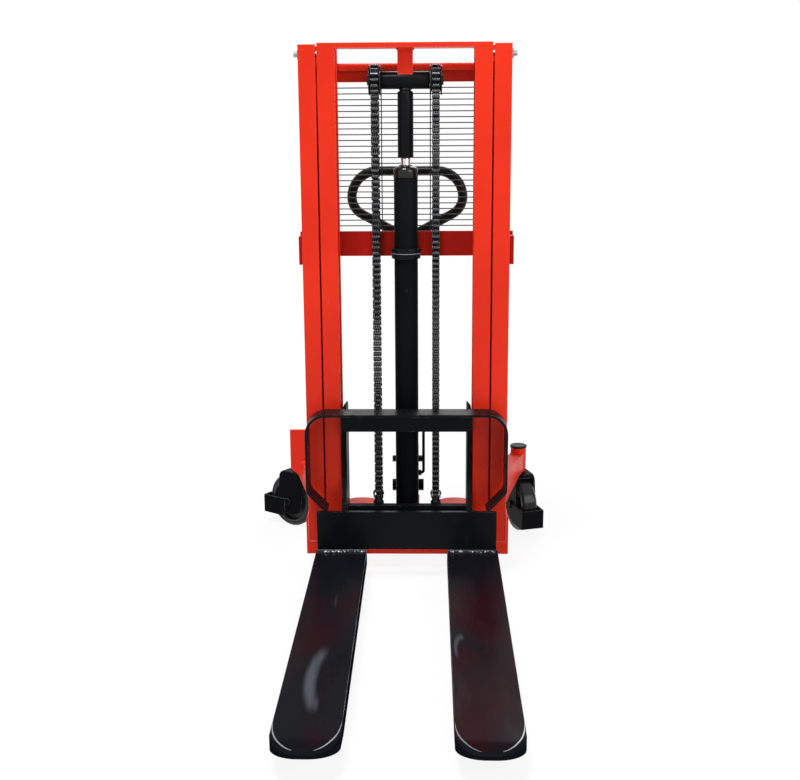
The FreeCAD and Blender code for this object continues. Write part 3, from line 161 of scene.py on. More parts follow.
RED = rgb(0.735, 0.030, 0.010)
RED_SHADE = rgb(0.635, 0.023, 0.008)
# Red of the rear mid beam, darkened as painted shade because it lies behind the columns
SHADED_RED = rgb(0.42, 0.010, 0.004)
SHADED_RED_DARK = rgb(0.34, 0.008, 0.003)
# Pale red for the red paint's scratches and for a painted highlight along its edges
PALE_RED_WEAR_AND_HIGHLIGHT = rgb(0.84, 0.17, 0.11)
PRIMER = rgb(0.30, 0.06, 0.04)
BLACK = rgb(0.0035, 0.0040, 0.0055)
BLACK_SHADE = rgb(0.0065, 0.0070, 0.0085)
GREY_WEAR = rgb(0.20, 0.20, 0.21)
# Pale steel for worn edges and for painted highlights along edges
STEEL_WEAR_AND_HIGHLIGHT = rgb(0.42, 0.44, 0.48)
FORK_BLACK = rgb(0.005, 0.006, 0.009)
# Reddish black: a painted reflection of the red mast on the forks' upper faces
FORK_RED_REFLECTION = rgb(0.017, 0.003, 0.005)
SCUFF_GREY = rgb(0.22, 0.25, 0.31)
# Pale bare steel of the weld flecks, partly a painted glint of the weld's ripples
BARE_FLECK_AND_GLINT = rgb(0.66, 0.68, 0.70)
FLECK_METALLIC = 0.6

# How far a thing's roughness goes below and above its own value
ENAMEL_ROUGH = (-0.05, 0.10)
METAL_ROUGH = (-0.06, 0.12)
MOULDED_ROUGH = (-0.08, 0.10)


def enamel(name, colour, shade, under, roughness, scratches=0.0, specular=0.4, rim=0.0, edge=1.6 * MM):
    """Sprayed enamel: slow changes of tone, orange peel, rubbed edges and thin upright scratches.

    The colour under the paint shows on edges as wide as edge, in worn patches and by at least the share
    called rim all along; that rim share is a painted highlight of the rounded edges.
    """
    g = Graph(name)
    tone = g.patches(scale=3.0, detail=6.0, low=0.30, high=0.72)
    base = g.mix(tone, colour, shade)
    # Edge marks: worn patches, with the rim share all along the edges as a painted highlight
    worn = g.patches(scale=38.0, detail=8.0, low=0.52, high=0.64, to_low=rim)
    rubbed = g.times(g.edges(edge), worn)
    streaks = g.patches(scale=90.0, detail=2.0, low=0.68, high=0.73, stretch=(1, 1, 0.05))
    streak_areas = g.patches(scale=5.0, detail=3.0, low=0.52, high=0.66)
    scratch = g.times(g.times(streaks, streak_areas), scratches)
    marks = g.larger(rubbed, scratch)
    smooth, rough = [roughness + change for change in ENAMEL_ROUGH]
    orange_peel = g.noise(scale=600.0, detail=2.0)
    g.set(
        Base_Color=g.mix(marks, base, under),
        Roughness=g.patches(scale=14.0, detail=6.0, low=0.3, high=0.7, to_low=smooth, to_high=rough),
        Specular_IOR_Level=specular,
        Normal=g.bump(orange_peel, strength=0.05, distance=0.3 * MM),
    )
    return g.material


def black_enamel(name, roughness, scratches, specular, under=GREY_WEAR, rim=0.0):
    return enamel(name, BLACK, BLACK_SHADE, under, roughness, scratches, specular, rim)


# Marks on the forks: where the painted red reflection fades toward the heel and the edges' painted highlight
# ends behind the nose, and how strong the wear is
HEEL_FADE = -220 * MM
HEEL_FADE_LENGTH = 300 * MM
NOSE_BACK = -1110 * MM
NOSE_FADE_LENGTH = 60 * MM
FAINT_RUB = 0.12
SCUFF_STRENGTH = 0.27
SCUFF_CORE = 0.62
FORK_SPECULAR = 0.016
FORK_EDGE_WEAR_AND_HIGHLIGHT = 1.8 * MM

# Each fork's scuff, which is what one soft oval leaves of another
LEFT_SCUFF = {"oval": (-0.192, -0.905, 0.086), "cut": (-0.167, -0.905, 0.086), "reach": (0.039, 0.180, 0.05)}
RIGHT_SCUFF = {"oval": (0.144, -0.735, 0.086), "cut": (0.150, -0.758, 0.086), "reach": (0.018, 0.085, 0.05)}


def fork_enamel(name, oval, cut, reach):
    """Black enamel of a fork, rubbed along its length by pallets, with one curved pale scuff, a painted red
    reflection of the mast on its upper faces and a painted highlight along its edges.
    """
    g = Graph(name)
    facing_up = g.span(g.part(g.normal(), "Z"), low=0.3, high=0.9)
    along = g.part(g.place, "Y")
    ahead_of_heel = g.span(along, HEEL_FADE, HEEL_FADE - HEEL_FADE_LENGTH, to_low=0.1)
    behind_nose = g.span(along, NOSE_BACK, NOSE_BACK + NOSE_FADE_LENGTH)

    # A painted red reflection of the mast, in clouds on the upper faces and fading toward the heel
    red_reflection_cloud = g.patches(scale=6.0, detail=6.0, low=0.42, high=0.66, stretch=(1, 0.4, 1))
    base = g.mix(g.times(red_reflection_cloud, g.times(ahead_of_heel, facing_up)), FORK_BLACK, FORK_RED_REFLECTION)

    rub = g.patches(scale=120.0, detail=3.0, low=0.62, high=0.75, stretch=(1, 0.04, 1))
    rub_areas = g.patches(scale=7.0, detail=4.0, low=0.54, high=0.70, stretch=(1, 0.5, 1))
    faint_rub = g.times(g.times(rub, rub_areas), FAINT_RUB)
    crescent = g.math("SUBTRACT", g.near(oval, reach, SCUFF_CORE), g.near(cut, reach, SCUFF_CORE))
    grain = g.patches(scale=60.0, detail=6.0, low=0.30, high=0.62, to_low=0.55, stretch=(1, 0.12, 1))
    scuff = g.times(g.larger(crescent, 0.0), g.times(grain, facing_up))
    marks = g.larger(faint_rub, g.times(scuff, SCUFF_STRENGTH))
    reflection_and_wear_base = g.mix(marks, base, SCUFF_GREY)

    # Edges behind the nose turn pale in worn patches, and at least faintly all along as a painted highlight
    edge_wear_and_highlight_areas = g.patches(scale=12.0, detail=6.0, low=0.40, high=0.62, to_low=0.35)
    edge = g.times(g.times(g.edges(FORK_EDGE_WEAR_AND_HIGHLIGHT), edge_wear_and_highlight_areas), behind_nose)
    rough_areas = g.noise(scale=16.0, detail=6.0, stretch=(1, 0.3, 1))
    g.set(
        Base_Color=g.mix(edge, reflection_and_wear_base, STEEL_WEAR_AND_HIGHLIGHT),
        Roughness=g.span(rough_areas, low=0.3, high=0.7, to_low=0.24, to_high=0.42),
        Specular_IOR_Level=g.times(facing_up, FORK_SPECULAR),
        Normal=g.bump(g.noise(scale=350.0, detail=3.0), strength=0.06, distance=0.3 * MM),
    )
    return g.material


def flecked_weld(name):
    """Black-painted weld with bare, shining ripples; the pale flecks' colour is partly a painted glint."""
    g = Graph(name)
    fleck = g.patches(scale=170.0, detail=3.0, low=0.53, high=0.60)
    g.set(
        Base_Color=g.mix(fleck, BLACK, BARE_FLECK_AND_GLINT),
        Roughness=g.span(fleck, low=0, high=1, to_low=0.35, to_high=0.22),
        Metallic=g.times(fleck, FLECK_METALLIC),
        Specular_IOR_Level=0.3,
        Normal=g.bump(g.noise(scale=240.0, detail=3.0), strength=0.35, distance=0.8 * MM),
    )
    return g.material


def bare_metal(name, colour, shade, roughness):
    """Turned or drawn steel with fine grain and darker oil stains."""
    g = Graph(name)
    stains = g.patches(scale=25.0, detail=6.0, low=0.4, high=0.68)
    grain = g.noise(scale=400.0, detail=3.0, stretch=(1, 1, 0.2))
    smooth, rough = [roughness + change for change in METAL_ROUGH]
    g.set(
        Base_Color=g.mix(stains, colour, shade),
        Roughness=g.span(grain, low=0.3, high=0.7, to_low=smooth, to_high=rough),
        Metallic=1.0,
        Normal=g.bump(grain, strength=0.05, distance=0.2 * MM),
    )
    return g.material


def moulded(name, colour, shade, roughness, specular=0.35):
    """Moulded plastic or rubber with a fine grain and dusty patches."""
    g = Graph(name)
    dust = g.patches(scale=18.0, detail=5.0, low=0.42, high=0.7)
    grain = g.noise(scale=900.0, detail=3.0)
    smooth, rough = [roughness + change for change in MOULDED_ROUGH]
    g.set(
        Base_Color=g.mix(dust, colour, shade),
        Roughness=g.span(grain, low=0.3, high=0.7, to_low=smooth, to_high=rough),
        Specular_IOR_Level=specular,
        Normal=g.bump(grain, strength=0.12, distance=0.3 * MM),
    )
    return g.material


# Finishes by the record's slots, by nodes and by the scene's own pieces
finishes = {
    # Red enamel: its pale red edges, widened to show, are a painted highlight of the columns' rounded edges;
    # its scratches are wear.
    "red_paint": enamel(
        "red enamel", RED, RED_SHADE, PALE_RED_WEAR_AND_HIGHLIGHT, roughness=0.32, scratches=0.2, specular=0.12,
        rim=0.5, edge=3.2 * MM),
    # The rear mid beam's red is darker as painted shade, for the shadow it lies in behind the columns.
    "rear_mid_beam": enamel(
        "rear red enamel", SHADED_RED, SHADED_RED_DARK, PRIMER, roughness=0.4, scratches=0.2, specular=0.08),
    "black_paint": black_enamel("black enamel", roughness=0.28, scratches=0.2, specular=0.07),
    "dull_black": black_enamel("dull black enamel", roughness=0.4, scratches=0.1, specular=0.015),
    "cylinder_gland": black_enamel("gland enamel", roughness=0.12, scratches=0.1, specular=0.35),
    # Caster enamel: the grey along all its edges, by the rim share, is a painted highlight of the rounded
    # edges, with wear patches on top.
    "caster_enamel": black_enamel(
        "caster enamel", roughness=0.22, scratches=0.2, specular=0.012, under=rgb(0.34, 0.35, 0.37),
        rim=0.45),
    # Pale strip material: a painted highlight along rounded edges
    "highlight_edge": enamel(
        "highlight edge line", STEEL_WEAR_AND_HIGHLIGHT, rgb(0.10, 0.11, 0.14), rgb(0.6, 0.6, 0.62), roughness=0.3),
    "dark_enamel": black_enamel(
        "dark enamel", roughness=0.5, scratches=0.0, specular=0.01, under=rgb(0.02, 0.02, 0.025)),
    "left_fork": fork_enamel("left fork enamel", **LEFT_SCUFF),
    "right_fork": fork_enamel("right fork enamel", **RIGHT_SCUFF),
    "handle_coat": moulded(
        "handle coating", rgb(0.004, 0.004, 0.005), rgb(0.008, 0.008, 0.009), roughness=0.35, specular=0.12),
    "wire": enamel(
        "wire coating", rgb(0.030, 0.026, 0.025), rgb(0.06, 0.05, 0.045), GREY_WEAR, roughness=0.4,
        specular=0.2),
    "chain": bare_metal(
        "oiled chain steel", rgb(0.007, 0.008, 0.010), rgb(0.016, 0.016, 0.018), roughness=0.36),
    # Lighter steel on the chain plates' shoulders, a painted highlight of their rounded ends
    "chain_highlight": bare_metal(
        "highlight chain steel", rgb(0.17, 0.175, 0.185), rgb(0.08, 0.08, 0.085), roughness=0.40),
    "chain_pin": bare_metal(
        "chain pin steel", rgb(0.06, 0.06, 0.062), rgb(0.03, 0.03, 0.03), roughness=0.36),
    "cast_black": bare_metal(
        "chain wheel iron", rgb(0.020, 0.020, 0.021), rgb(0.04, 0.038, 0.035), roughness=0.45),
    "chrome": bare_metal("hard chrome", rgb(0.80, 0.80, 0.82), rgb(0.62, 0.62, 0.64), roughness=0.10),
    "steel": bare_metal("plated steel", rgb(0.42, 0.41, 0.40), rgb(0.25, 0.24, 0.23), roughness=0.34),
    "cap_plastic": moulded(
        "cap plastic", rgb(0.010, 0.010, 0.011), rgb(0.02, 0.02, 0.022), roughness=0.3, specular=0.08),
    "tyre": moulded(
        "caster tyre", rgb(0.010, 0.010, 0.014), rgb(0.018, 0.018, 0.024), roughness=0.16, specular=0.22),
    "wheel_hub": enamel(
        "caster hub", rgb(0.022, 0.023, 0.026), rgb(0.036, 0.037, 0.040), GREY_WEAR, roughness=0.42,
        scratches=0.2, specular=0.3),
    "load_roller": moulded("nylon roller", rgb(0.62, 0.56, 0.42), rgb(0.45, 0.39, 0.28), roughness=0.42),
    "weld": flecked_weld("fork heel weld"),
    "black_weld": black_enamel("black weld", roughness=0.30, scratches=0.0, specular=0.3),
    "red_weld": enamel("red weld", rgb(0.80, 0.10, 0.06), RED, rgb(0.85, 0.30, 0.22), roughness=0.30),
    "brass": bare_metal("nipple brass", rgb(0.52, 0.36, 0.13), rgb(0.34, 0.22, 0.08), roughness=0.32),
    "seal": moulded("rod seal", rgb(0.010, 0.010, 0.011), rgb(0.02, 0.02, 0.02), roughness=0.5),
}
SHARED_FINISHES = {
    "caster_enamel": ("left_caster_axle", "left_caster_fork", "right_caster_axle", "right_caster_fork"),
    "dull_black": ("carriage_side_plates", "carriage_crossbar", "tiller_pivot_pin", "cylinder_barrel"),
    "cast_black": ("wheel_axle", "carriage_chain_anchors", "fixed_chain_anchors"),
}
for finish_name, node_names in SHARED_FINISHES.items():
    for node_name in node_names:
        finishes[node_name] = finishes[finish_name]

slot_of = {part["node"]: part["material_slot"] for part in frame["record"]["subparts"]}


def finish_of(node):
    return finishes.get(node) or finishes[slot_of[node]]


SMOOTH_ANGLE = math.radians(38)
BEVEL_ANGLE = math.radians(40)
EDGE_WIDTH = 0.7 * MM
FORK_EDGE_WIDTH = 2.4 * MM
FORKS = ("left_fork", "right_fork")
ROUND_NODES = ("wire_screen", "tiller_handle", "lowering_lever", "front_chains", "rear_chains", "chain_wraps")


def soften(obj, width):
    """Joins the facets of a CAD node and rounds its sharp edges a little."""
    weld = obj.modifiers.new("join facets", "WELD")
    weld.merge_threshold = MERGE_GAP
    bevel = obj.modifiers.new("rounded edges", "BEVEL")
    bevel.width = width
    bevel.segments = 2
    bevel.limit_method = "ANGLE"
    bevel.angle_limit = BEVEL_ANGLE
    bevel.harden_normals = False


for node_name, node in nodes.items():
    node.data.materials.clear()
    node.data.materials.append(finish_of(node_name))
    if node_name not in ROUND_NODES:
        soften(node, FORK_EDGE_WIDTH if node_name in FORKS else EDGE_WIDTH)


# Mesh helpers

def piece(name, bm, finish_names, body):
    """Turns a bmesh into a piece that rides on a body, if one is given; faces pick their finish by index."""
    bmesh.ops.recalc_face_normals(bm, faces=bm.faces)
    mesh = bpy.data.meshes.new(name)
    bm.to_mesh(mesh)
    bm.free()
    mesh.polygons.foreach_set("use_smooth", [True] * len(mesh.polygons))
    mesh.set_sharp_from_angle(angle=SMOOTH_ANGLE)
    for finish in finish_names:
        mesh.materials.append(finishes[finish])
    obj = bpy.data.objects.new(name, mesh)
    bpy.context.scene.collection.objects.link(obj)
    if body:
        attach(obj, body)
    return obj


def loft(bm, rings, finish=0):
    """Skin over rings of equal counts, closed at both ends."""
    made = [[bm.verts.new(point) for point in ring] for ring in rings]
    count = len(made[0])
    faces = [bm.faces.new(made[0][::-1]), bm.faces.new(made[-1])]
    for lower, upper in zip(made, made[1:]):
        for i in range(count):
            j = (i + 1) % count
            faces.append(bm.faces.new((lower[i], lower[j], upper[j], upper[i])))
    for face in faces:
        face.material_index = finish
    return faces


def ring_points(centre, along, radius, sides):
    across = along.orthogonal().normalized()
    up = along.cross(across).normalized()
    points = []
    for i in range(sides):
        angle = 2 * math.pi * i / sides
        points.append(centre + across * (radius * math.cos(angle)) + up * (radius * math.sin(angle)))
    return points


def lathe(bm, base, axis, profile, sides=32, finish=0):
    """Turned solid: profile is (distance along the axis, radius)."""
    loft(bm, [ring_points(base + axis * along, axis, radius, sides) for along, radius in profile], finish)


# Leaf chains

CHAIN_X = 88 * MM
CHAIN_PITCH = 15.875 * MM
PLATE_THICK = 2.7 * MM
PLATE_END = 6.6 * MM
PLATE_WAIST = 4.9 * MM
PLATE_STEP = 3.0 * MM
PLATE_ARC_POINTS = 7
WIDE_ROW = (-3, -1, 1, 3)
NARROW_ROW = (-2, 0, 2)
ROW_HALF = 3.5
PIN_RADIUS = 2.6 * MM
PIN_PROUD = 0.7 * MM
PIN_SIDES = 10
WRAP_LINKS = 8

# Places in a chain's list of finishes
PIN_FINISH = 1
HIGHLIGHT_FINISH = 2
CHAIN_FINISHES = ("chain", "chain_pin", "chain_highlight")
# The rear chains' plates keep one colour, without the painted highlight
OILED_FINISHES = ("chain", "chain_pin", "chain")

# A plate's faces with a painted highlight, at its shoulders by the pins: loft's two end faces come first,
# then the edge in order
HIGHLIGHT_FACES = (2, 7, 10, 15)


def link_plate(bm, x, start, end):
    """One figure-eight plate between two pins, its shoulders by the pins lighter as a painted highlight;
    points are in the YZ plane.
    """
    along = (end - start).normalized()
    across = Vector((0, -along.z, along.y))
    middle = (start + end) / 2
    edge = []
    for pin, sign in ((start, -1), (end, 1)):
        for i in range(PLATE_ARC_POINTS):
            angle = math.pi * (i / (PLATE_ARC_POINTS - 1) - 0.5)
            outward = along * (sign * PLATE_END * math.cos(angle))
            edge.append(pin + outward + across * (sign * PLATE_END * math.sin(angle)))
        edge.append(middle + across * (sign * PLATE_WAIST))
    faces = loft(bm, [[p + X_AXIS * (x + side * PLATE_THICK / 2) for p in edge] for side in (-1, 1)])
    for i in HIGHLIGHT_FACES:
        faces[i].material_index = HIGHLIGHT_FINISH


def chain_mesh(pins, first_row):
    """Plates and pins of both chains along a run of pin places."""
    bm = bmesh.new()
    for x in (-CHAIN_X, CHAIN_X):
        for i, (start, end) in enumerate(zip(pins, pins[1:])):
            row = WIDE_ROW if (i + first_row) % 2 == 0 else NARROW_ROW
            for place in row:
                link_plate(bm, x + place * PLATE_STEP, start, end)
        reach = ROW_HALF * PLATE_STEP + PIN_PROUD
        for pin in pins:
            foot = Vector((x - reach, pin.y, pin.z))
            lathe(bm, foot, X_AXIS, [(0, PIN_RADIUS), (2 * reach, PIN_RADIUS)], PIN_SIDES, PIN_FINISH)
    return bm


front_low, front_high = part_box("front_chains")
rear_low, rear_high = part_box("rear_chains")
head_z = front_high.z
front_y = (front_low.y + front_high.y) / 2
rear_y = (rear_low.y + rear_high.y) / 2
wheel_y = (front_y + rear_y) / 2
wrap_radius = (rear_y - front_y) / 2


def hanging_pins(y, low_z):
    """Pin places down from the wheels' axle to about the given height."""
    count = round((head_z - low_z) / CHAIN_PITCH)
    return [Vector((0, y, head_z - i * CHAIN_PITCH)) for i in range(count + 1)]


front_mesh = chain_mesh(hanging_pins(front_y, front_low.z), 0)
front_chain = piece("front_leaf_chains", front_mesh, CHAIN_FINISHES, "inner_mast")
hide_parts("front_chains")
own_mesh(front_chain)

rear_mesh = chain_mesh(hanging_pins(rear_y, rear_low.z), 0)
rear_chain = piece("rear_leaf_chains", rear_mesh, OILED_FINISHES, None)
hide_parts("rear_chains")
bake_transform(rear_chain)

wrap_pins = []
for i in range(WRAP_LINKS + 1):
    angle = math.pi * i / WRAP_LINKS
    pin_y = wheel_y - wrap_radius * math.cos(angle)
    wrap_pins.append(Vector((0, pin_y, head_z + wrap_radius * math.sin(angle))))
wrap = piece("leaf_chain_wraps", chain_mesh(wrap_pins, 1), CHAIN_FINISHES, "inner_mast")
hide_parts("chain_wraps")


# Chain clevises on the carriage

CHEEK_OUT = 13.2 * MM
CHEEK_THICK = 3.2 * MM
CHEEK_HALF = 9.5 * MM
CHEEK_RISE = 18 * MM
CHEEK_DROP = 4 * MM
CHEEK_ARC_STEPS = 8
PIN_HEAD = [(0, 4.5 * MM), (3 * MM, 4.5 * MM), (3.8 * MM, 3.6 * MM)]


def clevis_cheek(bm, x, y, low, high):
    """Upright plate beside a chain end, rounded at the top."""
    outline = [Vector((0, y - CHEEK_HALF, low))]
    for i in range(CHEEK_ARC_STEPS + 1):
        angle = math.pi * i / CHEEK_ARC_STEPS
        top = high - CHEEK_HALF * (1 - math.sin(angle))
        outline.append(Vector((0, y - CHEEK_HALF * math.cos(angle), top)))
    outline.append(Vector((0, y + CHEEK_HALF, low)))
    loft(bm, [[p + X_AXIS * (x + side * CHEEK_THICK / 2) for p in outline] for side in (-1, 1)])


clevises = bmesh.new()
cheek_low = front_low.z - CHEEK_DROP
cheek_high = front_low.z + CHEEK_RISE
for chain_x in (-CHAIN_X, CHAIN_X):
    for sign in (-1, 1):
        cheek_x = chain_x + sign * CHEEK_OUT
        clevis_cheek(clevises, cheek_x, front_y, cheek_low, cheek_high)
        pin_foot = Vector((cheek_x, front_y, cheek_high - CHEEK_HALF))
        lathe(clevises, pin_foot, X_AXIS * sign, PIN_HEAD, sides=16)
piece("chain_clevises", clevises, ("dark_enamel",), "carriage")


# Fork noses

NOSE_TOP = 86 * MM
NOSE_HALF = 76.5 * MM
NOSE_RADIUS = 66 * MM
NOSE_LENGTH = 130 * MM
NOSE_BEVEL = 46 * MM
NOSE_DROP = 12 * MM
NOSE_PROUD = 0.3 * MM
NOSE_SIDE_SHARES = (1.0, 0.9, 0.8, 0.7, 0.6)
NOSE_ARC_STEPS = 18
RIM_INSET = 0.1 * MM
SUNK_INSET = 2 * MM
SUNK_DEPTH = 4 * MM
CREST_PLACES = len(NOSE_SIDE_SHARES) + NOSE_ARC_STEPS + 1
CREST_POWER = 0.77
CREST_FRONT = 8 * MM
CREST_INSET = 0.5 * MM
# The line is a pale strip standing as a painted highlight along the nose's crest
LINE_WIDTH = 3.4 * MM
LINE_POWER = 0.8
LINE_SINK = 1.0 * MM
LINE_PLACES = 21
BEVEL_FINISH = 1


def nose_outline(inset):
    """Half outline of a fork's nose from its side to the middle of its front: (across, way from the tip)."""
    line = [Vector((NOSE_HALF - inset, NOSE_LENGTH * share)) for share in NOSE_SIDE_SHARES]
    centre = Vector((NOSE_HALF - NOSE_RADIUS, NOSE_RADIUS))
    for i in range(NOSE_ARC_STEPS + 1):
        angle = math.pi / 2 * i / NOSE_ARC_STEPS
        line.append(centre + Vector((math.cos(angle), -math.sin(angle))) * (NOSE_RADIUS - inset))
    return line


def nose_crest(inset_at):
    """Half of a squared ellipse where the flat top meets the bevel, with as many places as the outline."""
    line = []
    for i in range(CREST_PLACES):
        share = i / (CREST_PLACES - 1)
        inset = inset_at(share)
        angle = math.pi / 2 * share
        across = (NOSE_HALF - inset) * math.cos(angle) ** CREST_POWER
        way = NOSE_LENGTH - (NOSE_LENGTH - CREST_FRONT - inset) * math.sin(angle) ** CREST_POWER
        line.append(Vector((across, way)))
    return line


def nose_ring(fork, half_line, height_at):
    """Closed ring round a fork's nose; its height follows the way from the tip."""
    low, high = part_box(fork)
    middle = (low.x + high.x) / 2
    right = [Vector((middle + p.x, low.y + p.y, height_at(p.y))) for p in half_line]
    left = [Vector((middle - p.x, low.y + p.y, height_at(p.y))) for p in half_line[::-1]]
    return right + left


def solid_top(way):
    """Height of the solid's sloped nose at a distance from its tip."""
    return NOSE_TOP - NOSE_DROP * max(0.0, 1 - way / NOSE_BEVEL)


def cap_top(way):
    """Height of the cap, which sinks into the fork behind the nose and rounds off toward its tip."""
    fall = (NOSE_DROP - NOSE_PROUD) * max(0.0, 1 - way / NOSE_BEVEL) ** 2
    return NOSE_TOP + NOSE_PROUD * (1 - 2 * way / NOSE_LENGTH) - fall


def rim_top(way):
    """Height of the cap's rim, just proud of the solid."""
    return min(cap_top(way), solid_top(way) + NOSE_PROUD)


def sunk_top(_way):
    """Height of the cap's hidden foot, the same all round."""
    return NOSE_TOP - NOSE_DROP - SUNK_DEPTH


def line_top(way):
    return cap_top(way) + NOSE_PROUD


def line_foot(way):
    return cap_top(way) - LINE_SINK


def crest_edge(_share):
    """Outer edge of the painted highlight line, the same all along the crest."""
    return CREST_INSET


def crest_line(share):
    """Inner edge of the painted highlight line: it has no width at the side and near the front's middle."""
    line_end = (LINE_PLACES - 1) / (CREST_PLACES - 1)
    return CREST_INSET + LINE_WIDTH * max(0.0, math.sin(math.pi * share / line_end)) ** LINE_POWER


def strip(bm, first, second, finish=0):
    """Faces between two open lines of equal counts."""
    for i in range(len(first) - 1):
        face = bm.faces.new((first[i], first[i + 1], second[i + 1], second[i]))
        face.material_index = finish


def nose_cap(fork):
    """Cap over the solid's sloped nose, flat on top with a bevelled rim."""
    bm = bmesh.new()
    rings = [
        nose_ring(fork, nose_outline(SUNK_INSET), sunk_top),
        nose_ring(fork, nose_outline(RIM_INSET), rim_top),
        nose_ring(fork, nose_crest(crest_edge), cap_top),
    ]
    sunk, rim, crest = [[bm.verts.new(point) for point in ring] for ring in rings]
    for lower, upper in ((sunk, rim), (rim, crest)):
        strip(bm, lower + lower[:1], upper + upper[:1], BEVEL_FINISH)
    strip(bm, crest[:CREST_PLACES], crest[:CREST_PLACES - 1:-1])
    strip(bm, sunk[:CREST_PLACES], sunk[:CREST_PLACES - 1:-1], BEVEL_FINISH)
    bmesh.ops.remove_doubles(bm, verts=bm.verts, dist=MERGE_GAP)
    piece(fork + "_nose", bm, (fork, "dark_enamel"), "carriage")


def nose_highlight_line(fork):
    """Thin closed strip along each side of the rim, a bright painted highlight of the nose's rounded edge."""
    bm = bmesh.new()
    corners = (
        (crest_edge, line_foot),
        (crest_edge, line_top),
        (crest_line, line_top),
        (crest_line, line_foot),
    )
    rings = [nose_ring(fork, nose_crest(edge), height_at) for edge, height_at in corners]
    for side in (slice(None, LINE_PLACES), slice(-LINE_PLACES, None)):
        rows = [[bm.verts.new(point) for point in ring[side]] for ring in rings]
        for first, second in zip(rows, rows[1:] + rows[:1]):
            strip(bm, first, second)
    bmesh.ops.remove_doubles(bm, verts=bm.verts, dist=MERGE_GAP)
    piece(fork + "_nose_highlight_line", bm, ("highlight_edge",), "carriage")


for fork_name in FORKS:
    nose_cap(fork_name)
    nose_highlight_line(fork_name)


# Weld beads

BEAD_SIDES = 8
BEAD_STEP = 0.45
BEAD_END = 0.45
BEAD_TAPER = 6
BEAD_TAPER_LENGTH = 20 * MM
RING_BEAD_STEPS = 72

# Height and pace of the ripples along a bead and round a bar
BEAD_RIPPLES = ((0.13, 1.9), (0.08, 0.61))
RING_RIPPLES = ((0.12, 2.1),)

# Radius of each weld's bead
HEEL_BEAD = 3.6 * MM
FOOT_BEAD = 2.2 * MM
TOP_BAR_BEAD = 3.4 * MM
BEAM_BEAD = 3.0 * MM
ARM_BEAD = 2.8 * MM
FIN_BEAD = 2.6 * MM
CARRIAGE_BEAD = 2.6 * MM
SLEEVE_BEAD = 2.4 * MM
BARREL_BEAD = 3.0 * MM
TANK_BEAD = 2.8 * MM

# Places inside a node that its box doesn't give
TOP_BAR_HEIGHT = 14 * MM
ARM_TOP_DROP = 9 * MM
FIN_FRONT = 276 * MM
FIN_THICK = 8 * MM
FIN_INNER_X = -324 * MM
SIDE_PLATE_INSET = 14 * MM
HEAD_RADIUS = 25 * MM
NECK_RADIUS = 16.5 * MM
HEEL_SHARE_OUT = 0.45
HEEL_SHARE_UP = 0.42
BEAM_WELD_SHARES = ((0.02, 0.28), (0.38, 0.62), (0.72, 0.98))

# How far a weld's ends lie from the edges of the pieces it joins
HEEL_INSETS = (3 * MM, 8 * MM)
TOP_BAR_INSETS = (4 * MM, 6 * MM)
ARM_INSET = 5 * MM
FIN_INSETS = (26 * MM, 2 * MM)
CROSSBAR_INSET = 3 * MM
PLATE_INSETS = (6 * MM, 4 * MM)
HOOP_INSETS = (70 * MM, 8 * MM)
BARREL_INSET = 2 * MM


def rippled(step, ripples):
    """Thickness of a bead at one of its steps, as a share of its radius."""
    return 1 + sum(height * math.sin(step * pace) for height, pace in ripples)


def bead(name, runs, radius, finish, body):
    """Rippled weld beads along straight runs, thinner at their ends."""
    bm = bmesh.new()
    for start, end in runs:
        along = (end - start).normalized()
        length = (end - start).length
        count = max(4, int(length / (radius * BEAD_STEP)))
        rings = []
        for i in range(count + 1):
            share = i / count
            end_share = min(share, 1 - share)
            taper = min(1.0, BEAD_END + BEAD_TAPER * end_share * length / (length + BEAD_TAPER_LENGTH))
            centre = start + along * (length * share)
            rings.append(ring_points(centre, along, radius * rippled(i, BEAD_RIPPLES) * taper, BEAD_SIDES))
        loft(bm, rings)
    piece(name, bm, (finish,), body)


def ring_bead(bm, centre, axis, ring_radius, radius):
    """Rippled weld right round a bar or tube."""
    across = axis.orthogonal().normalized()
    up = axis.cross(across)
    rows = []
    for i in range(RING_BEAD_STEPS):
        turn = 2 * math.pi * i / RING_BEAD_STEPS
        out = across * math.cos(turn) + up * math.sin(turn)
        fat = radius * rippled(i, RING_RIPPLES)
        row = []
        for k in range(BEAD_SIDES):
            angle = 2 * math.pi * k / BEAD_SIDES
            place = centre + out * (ring_radius + fat * math.cos(angle)) + axis * (fat * math.sin(angle))
            row.append(bm.verts.new(place))
        rows.append(row)
    for i, row in enumerate(rows):
        ahead = rows[(i + 1) % RING_BEAD_STEPS]
        for k in range(BEAD_SIDES):
            n = (k + 1) % BEAD_SIDES
            bm.faces.new((row[k], row[n], ahead[n], ahead[k]))


def run(start, end):
    return Vector(start), Vector(end)


def on_both_sides(runs):
    """Runs of the right side with their mirror images."""
    flip = Vector((-1, 1, 1))
    return runs + [(start * flip, end * flip) for start, end in runs]


plate_low, plate_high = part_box("carriage_lower_plate")
fork_low, fork_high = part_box("right_fork")
column_low, column_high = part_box("right_outer_column")
base_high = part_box("base_beam")[1]
bar_low, bar_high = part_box("inner_top_bar")
side_low, side_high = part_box("carriage_side_plates")
hoop_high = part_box("carriage_hoop")[1]
crossbar_low, crossbar_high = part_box("carriage_crossbar")
beam_low, beam_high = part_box("rear_top_beam")
arm_low, arm_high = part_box("right_rear_arm")
barrel_low, barrel_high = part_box("cylinder_barrel")

